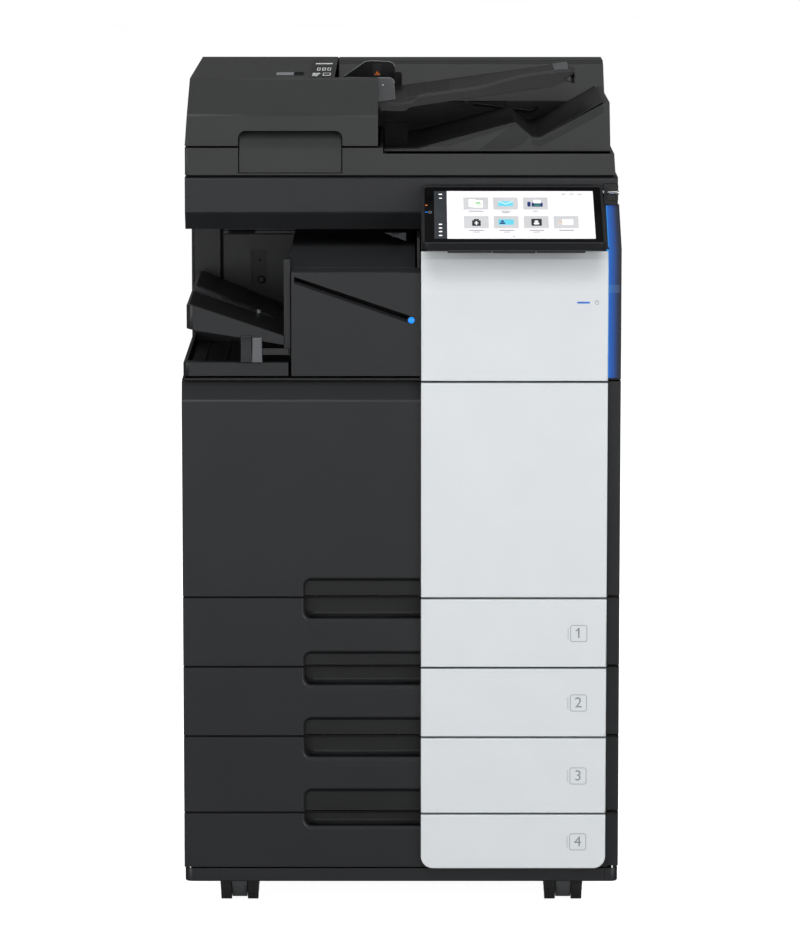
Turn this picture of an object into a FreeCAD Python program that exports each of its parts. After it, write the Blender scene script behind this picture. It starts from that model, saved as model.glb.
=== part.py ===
import FreeCAD, Part
import math
import os

import Sketcher

# Floor-standing colour copier: paper cabinet, print unit, inner finisher,
# flatbed scanner, document feeder and tilting touch panel.
# X runs to the right, the front faces -Y, Z is up, millimetres.
# The origin is on the floor under the middle of the whole machine.

SIZES = {
    # whole machine
    "width": (615, "across the side covers"),
    "body_depth": (626, "dark front face to rear cover"),
    "panel_reach": (62, "touch panel in front of the dark front face"),
    "skin": (3, "moulded cover wall"),
    "seam": (3, "gap between neighbouring fronts"),
    "slide_gap": (1.5, "gap between a moving piece and its housing"),
    "sheet": (1.2, "steel sheet of the frame"),
    # fronts, from the floor up
    "skirt_drop": (3, "skirt edge below the tops of the caster wheels"),
    "front_rise": (18.4, "lowest tray front above the tops of the caster wheels"),
    "tray_height_d": (77.1, "lowest tray front"),
    "tray_height_c": (107, "third tray front"),
    "tray_height_b": (96.7, "second tray front"),
    "tray_height_a": (96.3, "top tray front"),
    "front_door_height": (303.5, "front door"),
    "toner_door_height": (180, "toner door"),
    "front_thick": (18, "tray front and door thickness"),
    "white_left": (27.6, "left edge of the white panels"),
    "white_proud": (11, "white panels in front of the dark face"),
    "strip_width": (19.1, "dark strip right of the white panels"),
    "strip_back": (9, "dark strip behind the dark face"),
    "white_round": (1.5, "edge radius of the white panels"),
    # handle recesses
    "handle_left": (-139.8, "left end of the handle recesses"),
    "handle_round": (14, "corner radius of the recesses"),
    "handle_deep": (34, "finger pocket depth"),
    "handle_shallow": (8, "depth of the part above the seam"),
    # paper trays
    "box_room_left": (17.5, "outer face to the left wall of the tray boxes"),
    "box_room_right": (23.5, "outer face to the right wall of the tray boxes"),
    "box_room_rear": (132, "rear face to the back of the tray boxes"),
    "box_wall": (3, "tray box wall"),
    # output bay, finisher, output trays
    "bay_depth": (370, "dark face to the bay's back wall"),
    "bay_high": (197, "clear height of the bay"),
    "finisher_left": (-155, "left face of the finisher"),
    "finisher_front_high": (145, "front edge of the finisher cover"),
    "finisher_high": (171.6, "top of the finisher"),
    "finisher_lean": (100, "depth of the sloping top"),
    # scanner and feeder
    "scanner_back": (110, "scanner front behind the dark face"),
    "scanner_high": (74.4, "scanner housing"),
    "scanner_inset": (1.5, "scanner side in from the outer face"),
    "glass_half_x": (215, "half length of the platen glass"),
    "glass_half_y": (150, "half width of the platen glass"),
    "glass_thick": (3.8, "platen glass"),
    "feeder_gap": (3.4, "feeder above the scanner"),
    "feeder_base_high": (38.2, "feeder base, left part"),
    "feeder_base_low": (29.9, "feeder base, right part"),
    "feeder_cover_high": (93.4, "feeder cover"),
    "feeder_inset": (1.7, "feeder side in from the outer face"),
    "cover_right": (-33, "right edge of the cover's front rim"),
    "inlet_left": (-95, "left edge of the paper inlet"),
    "inlet_front": (-124, "front edge of the paper inlet"),
    "tower_depth": (158, "rear tower of the feeder, front to back"),
    "tray_slope": (0.139, "rise per run of the document tray"),
    "tray_rise": (60.8, "document tray surface above the cover's lower edge"),
    "guide_travel": (95, "travel of a document guide"),
    # touch panel
    "panel_mid": (156, "middle of the touch panel"),
    "panel_wide": (254.4, "touch panel width"),
    "panel_long": (168, "touch panel along its slope"),
    "panel_thick": (14, "touch panel thickness"),
    "panel_slope": (0.4245, "rise per run of the touch panel"),
    "panel_rise": (5.6, "panel's lower front edge above the toner door"),
    "screen_rim": (3.6, "rim round the screen glass"),
    "screen_thick": (1.2, "screen glass"),
    "pin_radius": (3, "panel hinge pin"),
    "pin_gap": (0.05, "running clearance of pins and shafts"),
    "stylus_radius": (2.6, "stylus"),
    # toner and print unit
    "toner_wide": (52, "toner cartridge width"),
    "toner_pitch": (61, "toner cartridge spacing"),
    "unit_front": (-228, "front of the print units"),
    "unit_room_left": (92.5, "outer face to the left end of the print units"),
    "unit_gap": (15, "print units to the fuser"),
    "fuser_wide": (77, "fuser width"),
    "fuser_gap": (10, "fuser to the right frame plate"),
    "drum_pitch": (100, "spacing of the imaging units"),
    "unit_room_rear": (114, "print units in from the rear face"),
    # right side
    "side_door_drop": (21, "upper edge of the side door below the bay"),
    "side_door_tall": (440, "side door height"),
    "side_door_front": (-180, "front edge of the side door"),
    "side_door_rear_room": (94, "hinge edge of the side door in from the rear face"),
    "side_door_thick": (13.5, "side door thickness"),
    "bypass_drop": (40, "bypass tray below the upper edge of the side door"),
    "bypass_tall": (180, "bypass tray height"),
    # casters
    "caster_inset": (75.5, "caster swivel axis in from the outer face"),
    "caster_front": (-200, "front caster axis"),
    "caster_rear_inset": (74, "rear caster axis in from the rear face"),
    "wheel_radius": (25, "caster wheel"),
    "wheel_wide": (15, "caster wheel width"),
    "wheel_trail": (16, "wheel axle behind the swivel axis"),
    "hood_wide": (21, "caster body between the wheels"),
}

V = FreeCAD.Vector
doc = FreeCAD.newDocument("Copier")
parts = {}


class Size:
    """A length with its value and the sheet expression that gives it."""

    def __init__(self, value, text):
        self.value = float(value)
        self.text = text

    def __add__(self, other):
        return Size(self.value + num(other), f"({self.text} + {txt(other)})")

    def __radd__(self, other):
        return Size(num(other) + self.value, f"({txt(other)} + {self.text})")

    def __sub__(self, other):
        return Size(self.value - num(other), f"({self.text} - {txt(other)})")

    def __rsub__(self, other):
        return Size(num(other) - self.value, f"({txt(other)} - {self.text})")

    def __mul__(self, other):
        return Size(self.value * num(other), f"({self.text} * {txt(other)})")

    __rmul__ = __mul__

    def __truediv__(self, other):
        return Size(self.value / num(other), f"({self.text} / {txt(other)})")

    def __neg__(self):
        return Size(-self.value, f"(0 - {self.text})")


def num(size):
    return size.value if isinstance(size, Size) else float(size)


def txt(size):
    return size.text if isinstance(size, Size) else repr(float(size))


def mm(value):
    """A fixed length that no other size drives."""
    return Size(value, repr(float(value)))


class Sheet:
    """The driving sizes, one spreadsheet row each, read as Size values."""

    def __init__(self, table):
        self.cells = doc.addObject("Spreadsheet::Sheet", "Dims")
        for row, (name, (value, note)) in enumerate(table.items(), start=1):
            self.cells.set(f"A{row}", note)
            self.cells.set(f"B{row}", str(value))
            self.cells.setAlias(f"B{row}", name)
            setattr(self, name, Size(value, f"Dims.{name}"))


s = Sheet(SIZES)
doc.recompute()

# Levels and faces that several pieces share.
half = s.width / 2
lip_y = -(s.body_depth + s.panel_reach) / 2
front = lip_y + s.panel_reach
rear = front + s.body_depth
white = front - s.white_proud
strip = front + s.strip_back
strip_x = half - s.strip_width
front_back = front + s.front_thick
wheel_top = s.wheel_radius * 2
skirt_low = wheel_top - s.skirt_drop
tray_heights = [s.tray_height_a, s.tray_height_b, s.tray_height_c, s.tray_height_d]
tray_low, tray_high = [None] * 4, [None] * 4
level = wheel_top + s.front_rise
for index in (3, 2, 1, 0):
    tray_low[index] = level
    tray_high[index] = level + tray_heights[index]
    level = tray_high[index] + s.seam
door_low = level
door_high = door_low + s.front_door_height
toner_low = door_high + s.seam
toner_high = toner_low + s.toner_door_height
panel_lip = toner_high + s.panel_rise
side_door_high = door_high - s.side_door_drop
side_door_low = side_door_high - s.side_door_tall
bypass_high = side_door_high - s.bypass_drop
bypass_low = bypass_high - s.bypass_tall
bay_floor = door_high + 6
bay_top = bay_floor + s.bay_high
bay_back = front + s.bay_depth
scan_low = bay_top
scan_top = scan_low + s.scanner_high
scan_front = front + s.scanner_back
scan_rear = rear - 14
feeder_low = scan_top + s.feeder_gap
feeder_split = feeder_low + s.feeder_base_high
cover_low = feeder_split + s.seam
cover_top = cover_low + s.feeder_cover_high
frame_right = half - s.side_door_thick - 2
frame_left = -half + s.skin + 2
box_left = -half + s.box_room_left
box_right = half - s.box_room_right
box_length = rear - s.box_room_rear - front_back
scanner_half = half - s.scanner_inset
feeder_half = half - s.feeder_inset
tower_front = scan_rear - s.tower_depth
unit_back = rear - s.unit_room_rear
side_door_back = rear - s.side_door_rear_room
caster_x = half - s.caster_inset
caster_rear = rear - s.caster_rear_inset
unit_left = -half + s.unit_room_left
fuser_right = frame_right - s.fuser_gap
fuser_left = fuser_right - s.fuser_wide
unit_right = fuser_left - s.unit_gap


# ---------------------------------------------------------------- builders

def bind(thing, prop, size):
    thing.setExpression(prop, txt(size))


def finish(name, thing):
    """Register a finished sub-part under its own label."""
    thing.Label = name
    parts[name] = thing
    return thing


def box(name, xs, ys, zs):
    thing = doc.addObject("Part::Box", name)
    for prop, (low, high) in zip(("Length", "Width", "Height"), (xs, ys, zs)):
        bind(thing, prop, high - low)
    for key, (low, _) in zip("xyz", (xs, ys, zs)):
        bind(thing, f"Placement.Base.{key}", low)
    return thing


AXES = {"x": V(1, 0, 0), "y": V(0, 1, 0), "z": V(0, 0, 1)}


def rod(name, axis, radius, low, high, centre):
    """Cylinder along an axis; centre gives the two other coordinates."""
    thing = doc.addObject("Part::Cylinder", name)
    bind(thing, "Radius", radius)
    bind(thing, "Height", high - low)
    thing.Placement = FreeCAD.Placement(V(), FreeCAD.Rotation(V(0, 0, 1), AXES[axis]))
    bind(thing, f"Placement.Base.{axis}", low)
    for key, value in zip([k for k in "xyz" if k != axis], centre):
        bind(thing, f"Placement.Base.{key}", value)
    return thing


def fuse(name, things):
    thing = doc.addObject("Part::MultiFuse", name)
    thing.Shapes = things
    return thing


def cut(name, base, tools):
    thing = doc.addObject("Part::Cut", name)
    thing.Base = base
    thing.Tool = tools[0] if len(tools) == 1 else fuse(name + "_tools", tools)
    return thing


def group(name, things):
    """Several separate solids kept as one compound."""
    thing = doc.addObject("Part::Compound", name)
    thing.Links = things
    return thing


def body(name):
    return doc.addObject("PartDesign::Body", name)


# plane role and the direction of its normal along the axis
PLANES = {"x": ("YZ_Plane", 1), "y": ("XZ_Plane", -1), "z": ("XY_Plane", 1)}


def disc(u, v, radius):
    return ("disc", u, v, radius)


def sketch(owner, axis, outlines, at):
    """Sketch square to an axis, every point dimensioned from the origin."""
    role, sign = PLANES[axis]
    plane = [o for o in owner.Origin.OriginFeatures if o.Role == role][0]
    made = owner.newObject("Sketcher::SketchObject", owner.Name + "_sketch")
    made.AttachmentSupport = [(plane, "")]
    made.MapMode = "FlatFace"
    made.setExpression("AttachmentOffset.Base.z", txt(at * sign))
    for outline in outlines:
        if outline[0] == "disc":
            add_circle(made, *outline[1:])
        else:
            add_polygon(made, outline)
    return made


def dimension(made, kind, geometry, point, size):
    index = made.addConstraint(
        Sketcher.Constraint(kind, -1, 1, geometry, point, num(size)))
    made.setExpression(f"Constraints[{index}]", txt(size))


def add_polygon(made, points):
    first = made.GeometryCount
    count = len(points)
    flat = [V(num(u), num(v), 0) for u, v in points]
    for i in range(count):
        made.addGeometry(Part.LineSegment(flat[i], flat[(i + 1) % count]))
    for i in range(count):
        made.addConstraint(Sketcher.Constraint(
            "Coincident", first + i, 2, first + (i + 1) % count, 1))
    for i, (u, v) in enumerate(points):
        dimension(made, "DistanceX", first + i, 1, u)
        dimension(made, "DistanceY", first + i, 1, v)


def add_circle(made, u, v, radius):
    index = made.addGeometry(Part.Circle(V(num(u), num(v), 0), V(0, 0, 1), num(radius)))
    dimension(made, "DistanceX", index, 3, u)
    dimension(made, "DistanceY", index, 3, v)
    key = made.addConstraint(Sketcher.Constraint("Radius", index, num(radius)))
    made.setExpression(f"Constraints[{key}]", txt(radius))


def pad(owner, axis, outlines, low, high):
    """Add material between two planes square to the axis."""
    start = low if PLANES[axis][1] > 0 else high
    feature = owner.newObject("PartDesign::Pad", owner.Name + "_pad")
    feature.Profile = sketch(owner, axis, outlines, start)
    bind(feature, "Length", high - low)
    owner.Tip = feature
    return feature


def pocket(owner, axis, outlines, low, high):
    """Take material away between two planes; it must remove something."""
    doc.recompute()
    before = owner.Tip.Shape.Volume
    start = high if PLANES[axis][1] > 0 else low
    feature = owner.newObject("PartDesign::Pocket", owner.Name + "_pocket")
    feature.Profile = sketch(owner, axis, outlines, start)
    bind(feature, "Length", high - low)
    owner.Tip = feature
    doc.recompute()
    if feature.Shape.Volume >= before - 1:
        raise RuntimeError(f"pocket in {owner.Name} removes nothing")
    return feature


def rect(u0, u1, v0, v1):
    return [(u0, v0), (u1, v0), (u1, v1), (u0, v1)]


def find_edges(shape, along=None, x=None, y=None, z=None, tol=0.05):
    """Names of the edges parallel to an axis whose middle lies at x, y, z."""
    names = []
    for index, edge in enumerate(shape.Edges, start=1):
        middle = edge.CenterOfMass
        where = zip((x, y, z), (middle.x, middle.y, middle.z))
        if any(want is not None and abs(num(want) - have) > tol for want, have in where):
            continue
        if along is not None:
            ends = [v.Point for v in edge.Vertexes]
            if len(ends) < 2 or (ends[1] - ends[0]).cross(AXES[along]).Length > 1e-4:
                continue
        names.append(f"Edge{index}")
    return names


def soften(owner, radius, *picks, kind="Fillet"):
    """Fillet or chamfer the picked edges of a body."""
    doc.recompute()
    base = owner.Tip
    names = []
    for pick in picks:
        found = find_edges(base.Shape, **pick)
        if not found:
            raise RuntimeError(f"no edge in {owner.Name} for {pick}")
        names += [n for n in found if n not in names]
    feature = owner.newObject("PartDesign::" + kind, owner.Name + "_" + kind.lower())
    feature.Base = (base, names)
    bind(feature, "Radius" if kind == "Fillet" else "Size", radius)
    owner.Tip = feature
    doc.recompute()
    if feature.Shape.isNull():
        raise RuntimeError(f"{feature.Name} fails")
    return feature


# ---------------------------------------------------------------- frame

def make_frame():
    """Base plate with caster pads, and the sheet-steel frame plates."""
    plate_top = skirt_low + 15
    pads = []
    bores = []
    for sx in (-1, 1):
        for y in (s.caster_front, caster_rear):
            x = caster_x * sx
            tag = f"{sx}_{int(num(y))}"
            pads.append(box("caster_pad", (x - 33, x + 33), (y - 33, y + 33),
                            (plate_top - 10, plate_top - 4)))
            bores.append(rod("caster_bore", "z", 5 + s.pin_gap, plate_top - 12,
                             plate_top - 3, (x, y)))
    floor = box("floor_plate", (-half + 8, half - 8), (front + 9, rear - 14),
                (plate_top - 4, plate_top))
    finish("base_plate", cut("base_plate_cut", fuse("base_plate_all", [floor] + pads), bores))

    left, right, t = frame_left, frame_right, s.sheet
    low, high = plate_top + 2, door_high - 3
    back = rear - 10
    deck_front = front + s.handle_deep + 4
    plates = [
        box("left_plate", (left, left + t), (front_back + 4, back), (low, high)),
        box("right_plate", (right - t, right), (front_back + 4, back), (low, high)),
        box("rear_plate", (left + t, right - t), (back - t, back), (low, high)),
        box("cabinet_top", (left + t, right - t), (deck_front, back - t),
            (tray_high[2] - 4, tray_high[2] - 2)),
        box("print_deck", (left + t, right - t), (deck_front, back - t),
            (tray_high[0] - 4, tray_high[0] - 2)),
        box("unit_front_plate", (left + t, right - t), (s.unit_front - t, s.unit_front),
            (tray_high[0] - 2, high - 3)),
        box("unit_rear_plate", (left + t, right - t), (unit_back, unit_back + t),
            (tray_high[0] - 2, high - 3)),
        box("top_deck", (left + t, right - t), (deck_front, back - t), (high - 3, high - 1)),
        box("column_front", (left, half - 9), (bay_back + 6, bay_back + 8),
            (bay_floor, scan_low - 5)),
        box("column_rear", (left, half - 9), (back - t, back), (bay_floor, scan_low - 5)),
        box("column_top", (left, half - 9), (bay_back + 6, back), (scan_low - 5, scan_low - 2)),
    ]
    x, z = inlet_centre()
    hole = box("inlet_hole", (x - 25, x + 25), (back - t, back), (z - 15, z + 15))
    plates[2] = cut("rear_plate_cut", plates[2], [hole])
    finish("frame_plates", group("frame_plates_all", plates))


def inlet_centre():
    return -half + 107, skirt_low + 67


def make_covers():
    """Outer covers of the left side, right side and rear, and the skirt."""
    low, back = skirt_low + 21, rear - s.skin
    side_front = front_back + 3
    finish("left_covers", group("left_covers_all", [
        box("left_lower", (-half, -half + s.skin), (side_front, back), (low, tray_high[2])),
        box("left_middle", (-half, -half + s.skin), (side_front, back),
            (tray_low[1], door_high)),
        box("left_upper", (-half, -half + s.skin), (bay_back + 4, back),
            (bay_floor + 1, scan_low - 2)),
    ]))
    xs = (half - s.skin, half)
    gap = 3
    finish("right_covers", group("right_covers_all", [
        box("right_low", xs, (side_front, back), (low, side_door_low - gap)),
        box("right_front", xs, (side_front, s.side_door_front - gap),
            (side_door_low - gap, door_high)),
        box("right_rear", xs, (side_door_back + gap, back),
            (side_door_low - gap, door_high)),
        box("right_over", xs, (s.side_door_front - gap, side_door_back + gap),
            (side_door_high + gap, door_high)),
        box("right_upper", xs, (strip + 35, back), (door_high + 2, scan_low - 2)),
    ]))

    cover = body("rear_cover_body")
    pad(cover, "y", [rect(-half, half, low, scan_low - 2)], rear - s.skin, rear)
    vents = []
    for row in range(2):
        for column in range(14):
            x = half - 60 - 16 * column
            z = door_low + 60 + 150 * row
            vents.append(rect(x - 4, x + 4, z, z + 70))
    pocket(cover, "y", vents, rear - s.skin, rear)
    inlet = rect(-half + 82, -half + 132, skirt_low + 52, skirt_low + 82)
    pocket(cover, "y", [inlet], rear - s.skin, rear)
    finish("rear_cover", cover)

    skirt = body("skirt_body")
    pad(skirt, "z", [rect(-half + 1, half - 1, front + 1, rear - 6)],
        skirt_low, skirt_low + 19)
    pocket(skirt, "z", [rect(-half + 4, half - 4, front + 5, rear - 9)],
           skirt_low, skirt_low + 19)
    soften(skirt, 10, {"along": "z", "x": -half + 1, "y": front + 1},
           {"along": "z", "x": half - 1, "y": front + 1})
    soften(skirt, 2, {"along": "x", "y": front + 1, "z": skirt_low})
    finish("skirt", skirt)


# ---------------------------------------------------------------- trays and front door

HANDLE_DROP = (33, 28.9, 32.8, 22.4)   # below the top edge of tray 1, 2, 3, 4
HANDLE_RISE = (26.8, 21.8, 26.8, 33.8)  # above the lower edge of the front over it


def front_plan(y_back):
    """Plan of a full-width front: dark face on the left, strip set back on the right."""
    return [(-half, front), (strip_x, front), (strip_x, strip), (half, strip),
            (half, y_back), (-half, y_back)]


def handle_pocket(owner, low, high, deep, corner_z):
    """Handle recess; its left corner at corner_z is rounded."""
    shape = rect(s.handle_left, s.white_left, low, high)
    pocket(owner, "y", [shape], front, front + deep)
    soften(owner, s.handle_round, {"along": "y", "x": s.handle_left, "z": corner_z})


def make_trays():
    for i in range(4):
        low, high = tray_low[i], tray_high[i]
        box_front = front + s.handle_deep + 4
        box_back = front_back + box_length
        tray = body(f"tray_body_{i + 1}")
        pad(tray, "z", [front_plan(front_back)], low, high)
        pad(tray, "z", [rect(box_left, box_right, front_back - 1, box_back)],
            low + 6, high - 6)
        pocket(tray, "z", [rect(box_left + s.box_wall, box_right - s.box_wall,
                                box_front + s.box_wall, box_back - s.box_wall)],
               low + 6 + s.box_wall, high - 6)
        pocket(tray, "z", [rect(box_left + s.box_wall, s.handle_left - 6,
                                front_back, box_front),
                           rect(s.white_left + 6, box_right - s.box_wall,
                                front_back, box_front)],
               low + 6 + s.box_wall, high - 6)
        drop = high - HANDLE_DROP[i]
        handle_pocket(tray, drop, high, s.handle_deep, drop)
        if i < 3:
            rise = low + HANDLE_RISE[i + 1]
            handle_pocket(tray, low, rise, s.handle_shallow, rise)
        soften(tray, 1.2, {"along": "z", "x": -half, "y": front},
               {"along": "z", "x": half, "y": strip})
        finish(f"tray_{i + 1}", tray)

        panel = body(f"tray_panel_body_{i + 1}")
        pad(panel, "y", [rect(s.white_left, strip_x, low, high)], white, front)
        if i == 3:
            soften(panel, 17, {"along": "y", "x": s.white_left, "z": low},
                   {"along": "y", "x": strip_x, "z": low})
        doc.recompute()
        rim = [{"y": white, "z": high}, {"y": white, "x": s.white_left},
               {"y": white, "x": strip_x}, {"y": white, "z": low}]
        soften(panel, s.white_round, *rim)
        finish(f"tray_panel_{i + 1}", panel)


def make_front_door():
    """Dark front door with a sloping top, and its white panel."""
    door = body("front_door_body")
    lean_z = door_high - 26
    pad(door, "x", [[(front, door_low), (front, lean_z), (front + 11, door_high),
                     (front_back, door_high), (front_back, door_low)]],
        -half, s.white_left - 1)
    pad(door, "z", [[(s.white_left - 1, front), (strip_x, front), (strip_x, strip),
                     (half, strip), (half, front_back), (s.white_left - 1, front_back)]],
        door_low, door_high)
    handle_pocket(door, door_low, door_low + HANDLE_RISE[0], s.handle_shallow,
                  door_low + HANDLE_RISE[0])
    doc.recompute()
    soften(door, 8, {"along": "x", "y": front, "z": lean_z})
    finish("front_door", door)

    panel = body("front_door_panel_body")
    pad(panel, "y", [rect(s.white_left, strip_x, door_low, door_high)], white, front)
    soften(panel, s.white_round, {"y": white, "z": door_high}, {"y": white, "z": door_low},
           {"y": white, "x": s.white_left}, {"y": white, "x": strip_x})
    finish("front_door_panel", panel)


# ---------------------------------------------------------------- upper right block

def make_toner_door():
    door = body("toner_door_body")
    top, depth = toner_high, 14
    pad(door, "x", [[(white, toner_low), (white, top - 58), (white + 1.6, top - 40),
                     (white + 5, top - 24), (white + 10.5, top - 10), (white + 19, top),
                     (white + 25, top), (white + 25, top - 4), (white + depth, top - 24),
                     (white + depth, toner_low)]],
        s.white_left, strip_x)
    pocket(door, "y", [rect(s.white_left + 4, strip_x - 4, toner_low + 14, top - 62)],
           white + 4, white + depth)
    soften(door, s.white_round, {"along": "z", "y": white, "x": s.white_left},
           {"along": "z", "y": white, "x": strip_x}, {"along": "x", "y": white, "z": toner_low})
    finish("toner_door", door)


def make_upper_front():
    """Dark ramp under the touch panel with the right pillar and the stylus holder."""
    ramp_low = toner_high + 3
    ramp_top = scan_low + 36.8
    edge = scan_front - 2.5
    cover = body("upper_front_body")
    pad(cover, "x", [[(front + 8, ramp_low), (edge - 5.5, ramp_top), (edge, ramp_top),
                      (edge, scan_low - 1.5), (bay_back - 12, scan_low - 1.5),
                      (bay_back - 12, ramp_low + 8), (front + 8, ramp_low - 0.1)]],
        s.white_left, strip_x + 2)
    pad(cover, "x", [[(strip, toner_low), (strip, ramp_low), (edge - 5.5, ramp_top),
                      (edge, ramp_top), (edge, scan_low - 1.5), (strip + 33, scan_low - 1.5),
                      (strip + 33, toner_low)]],
        strip_x + 2, half)
    holder_y = scan_front - 5
    pad(cover, "x", [rect(holder_y - 4, holder_y + 3.5, ramp_top - 1, ramp_top + 29)],
        strip_x - 2, half - 4)
    pocket(cover, "x", [[(front + 14, ramp_low + 3), (edge - 8, ramp_top - 6),
                         (edge - 8, scan_low - 4), (bay_back - 16, scan_low - 4),
                         (bay_back - 16, ramp_low + 11), (front + 30, ramp_low + 3)]],
           s.white_left + 3, strip_x - 4)
    bore = s.stylus_radius + s.pin_gap
    pocket(cover, "x", [disc(holder_y, stylus_z(), bore)], strip_x - 2, half - 4)
    finish("upper_front_cover", cover)

    tip = half - 1
    shaft = rod("stylus_shaft", "x", s.stylus_radius, tip - 112, tip - 10,
                (holder_y, stylus_z()))
    point = doc.addObject("Part::Cone", "stylus_point")
    bind(point, "Radius1", s.stylus_radius)
    bind(point, "Radius2", 0.8)
    bind(point, "Height", 10)
    point.Placement = FreeCAD.Placement(V(), FreeCAD.Rotation(V(0, 0, 1), V(1, 0, 0)))
    bind(point, "Placement.Base.x", tip - 10)
    bind(point, "Placement.Base.y", holder_y)
    bind(point, "Placement.Base.z", stylus_z())
    finish("stylus", fuse("stylus_all", [shaft, point]))


def stylus_z():
    return scan_low + 36.8 + 17


def make_toner():
    """Four bottle-shaped cartridges standing side by side."""
    first = s.white_left + 11
    low = bay_floor + 8
    high = low + 150
    for i, colour in enumerate(("yellow", "magenta", "cyan", "black")):
        left = first + s.toner_pitch * i
        right = left + s.toner_wide
        bottle = body(f"toner_{colour}_body")
        pad(bottle, "y", [rect(left, right, low, high)], front + 60, bay_back - 16)
        soften(bottle, 14, {"along": "y", "x": left, "z": high},
               {"along": "y", "x": right, "z": high}, {"along": "y", "x": left, "z": low},
               {"along": "y", "x": right, "z": low})
        middle = (left + right) / 2
        pad(bottle, "y", [rect(middle - 14, middle + 14, low + 30, high - 30)],
            front + 50, front + 61)
        pocket(bottle, "y", [rect(middle - 9, middle + 9, low + 40, low + 75)],
               front + 50, front + 58)
        finish(f"toner_{colour}", bottle)


# ---------------------------------------------------------------- output bay and finisher

def make_bay():
    """Floor, back wall and right wall of the output bay."""
    left, right = -half + 3.5, s.white_left - 1.6
    finish("output_bay", group("output_bay_all", [
        box("bay_floor_plate", (left, right), (front + 2, bay_back), (door_high + 2, bay_floor)),
        box("bay_back_wall", (left + 5, right), (bay_back, bay_back + 4),
            (bay_floor, scan_low - 2)),
        box("bay_right_wall", (right - 4, right), (front_back + 2, bay_back),
            (bay_floor, scan_low - 2)),
    ]))


def make_finisher():
    left, right = s.finisher_left, s.white_left - 8
    low = bay_floor + 3
    front_top = low + s.finisher_front_high
    top = low + s.finisher_high
    rise = (top - front_top) / s.finisher_lean
    back = bay_back - 4
    face = front_back + 2
    case = body("finisher_case_body")
    pad(case, "x", [[(face, low), (face, front_top + rise * 20), (front + s.finisher_lean, top),
                     (back, top), (back, low)]], left, right)
    pad(case, "x", [rect(front + 6, front + 44, low + 28, front_top + 18)],
        left - 9, left)
    pocket(case, "x", [[(face + 3, low + 4), (face + 3, front_top - 4), (back - 4, front_top - 4),
                        (back - 4, low + 4)]], left + 4, right)
    pocket(case, "x", [rect(-140, back - 20, low + 74, low + 92)], left, left + 4)
    finish("finisher_case", case)

    door_right = s.white_left - 1
    door = body("finisher_door_body")
    pad(door, "x", [[(front, low), (front, front_top), (front_back, front_top + rise * 18),
                     (front_back, low)]], left + s.slide_gap, door_right)
    slot = [(left + 5.4, front_top - 5.6), (left + 5.4, front_top - 15.4),
            (door_right - 17, low + 74.4), (door_right - 13, low + 84)]
    pocket(door, "y", [slot], front, front_back)
    pocket(case, "y", [slot], face, face + 3)
    doc.recompute()
    lens_x, lens_z = door_right - 12.6, low + 78.2
    pocket(door, "y", [disc(lens_x, lens_z, 6)], front, front + 6)
    soften(door, 2, {"along": "x", "y": front, "z": front_top})
    finish("finisher_door", door)

    tray = body("upper_output_body")
    tray_right = left - 9
    tray_left = -half + 7.2
    pad(tray, "y", [[(tray_left, low + 66), (tray_left, low + 98), (tray_left + 4, low + 100.5),
                     (tray_right, low + 56), (tray_right, low + 43.5)]],
        front + 2, back - 2)
    soften(tray, 10, {"along": "z", "x": tray_left, "y": front + 2})
    finish("upper_output_tray", tray)

    base = body("lower_output_body")
    base_left = -half + 2.4
    pad(base, "z", [rect(base_left, left - 3, front + 1, back)], low, low + 19)
    pocket(base, "z", [rect(base_left + 5, left - 7, front + 22, back - 4)],
           low + 4, low + 19)
    soften(base, 8, {"along": "z", "x": base_left, "y": front + 1})
    soften(base, 1.5, {"along": "x", "y": front + 1, "z": low + 19})
    finish("lower_output_tray", base)


# ---------------------------------------------------------------- scanner

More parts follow.
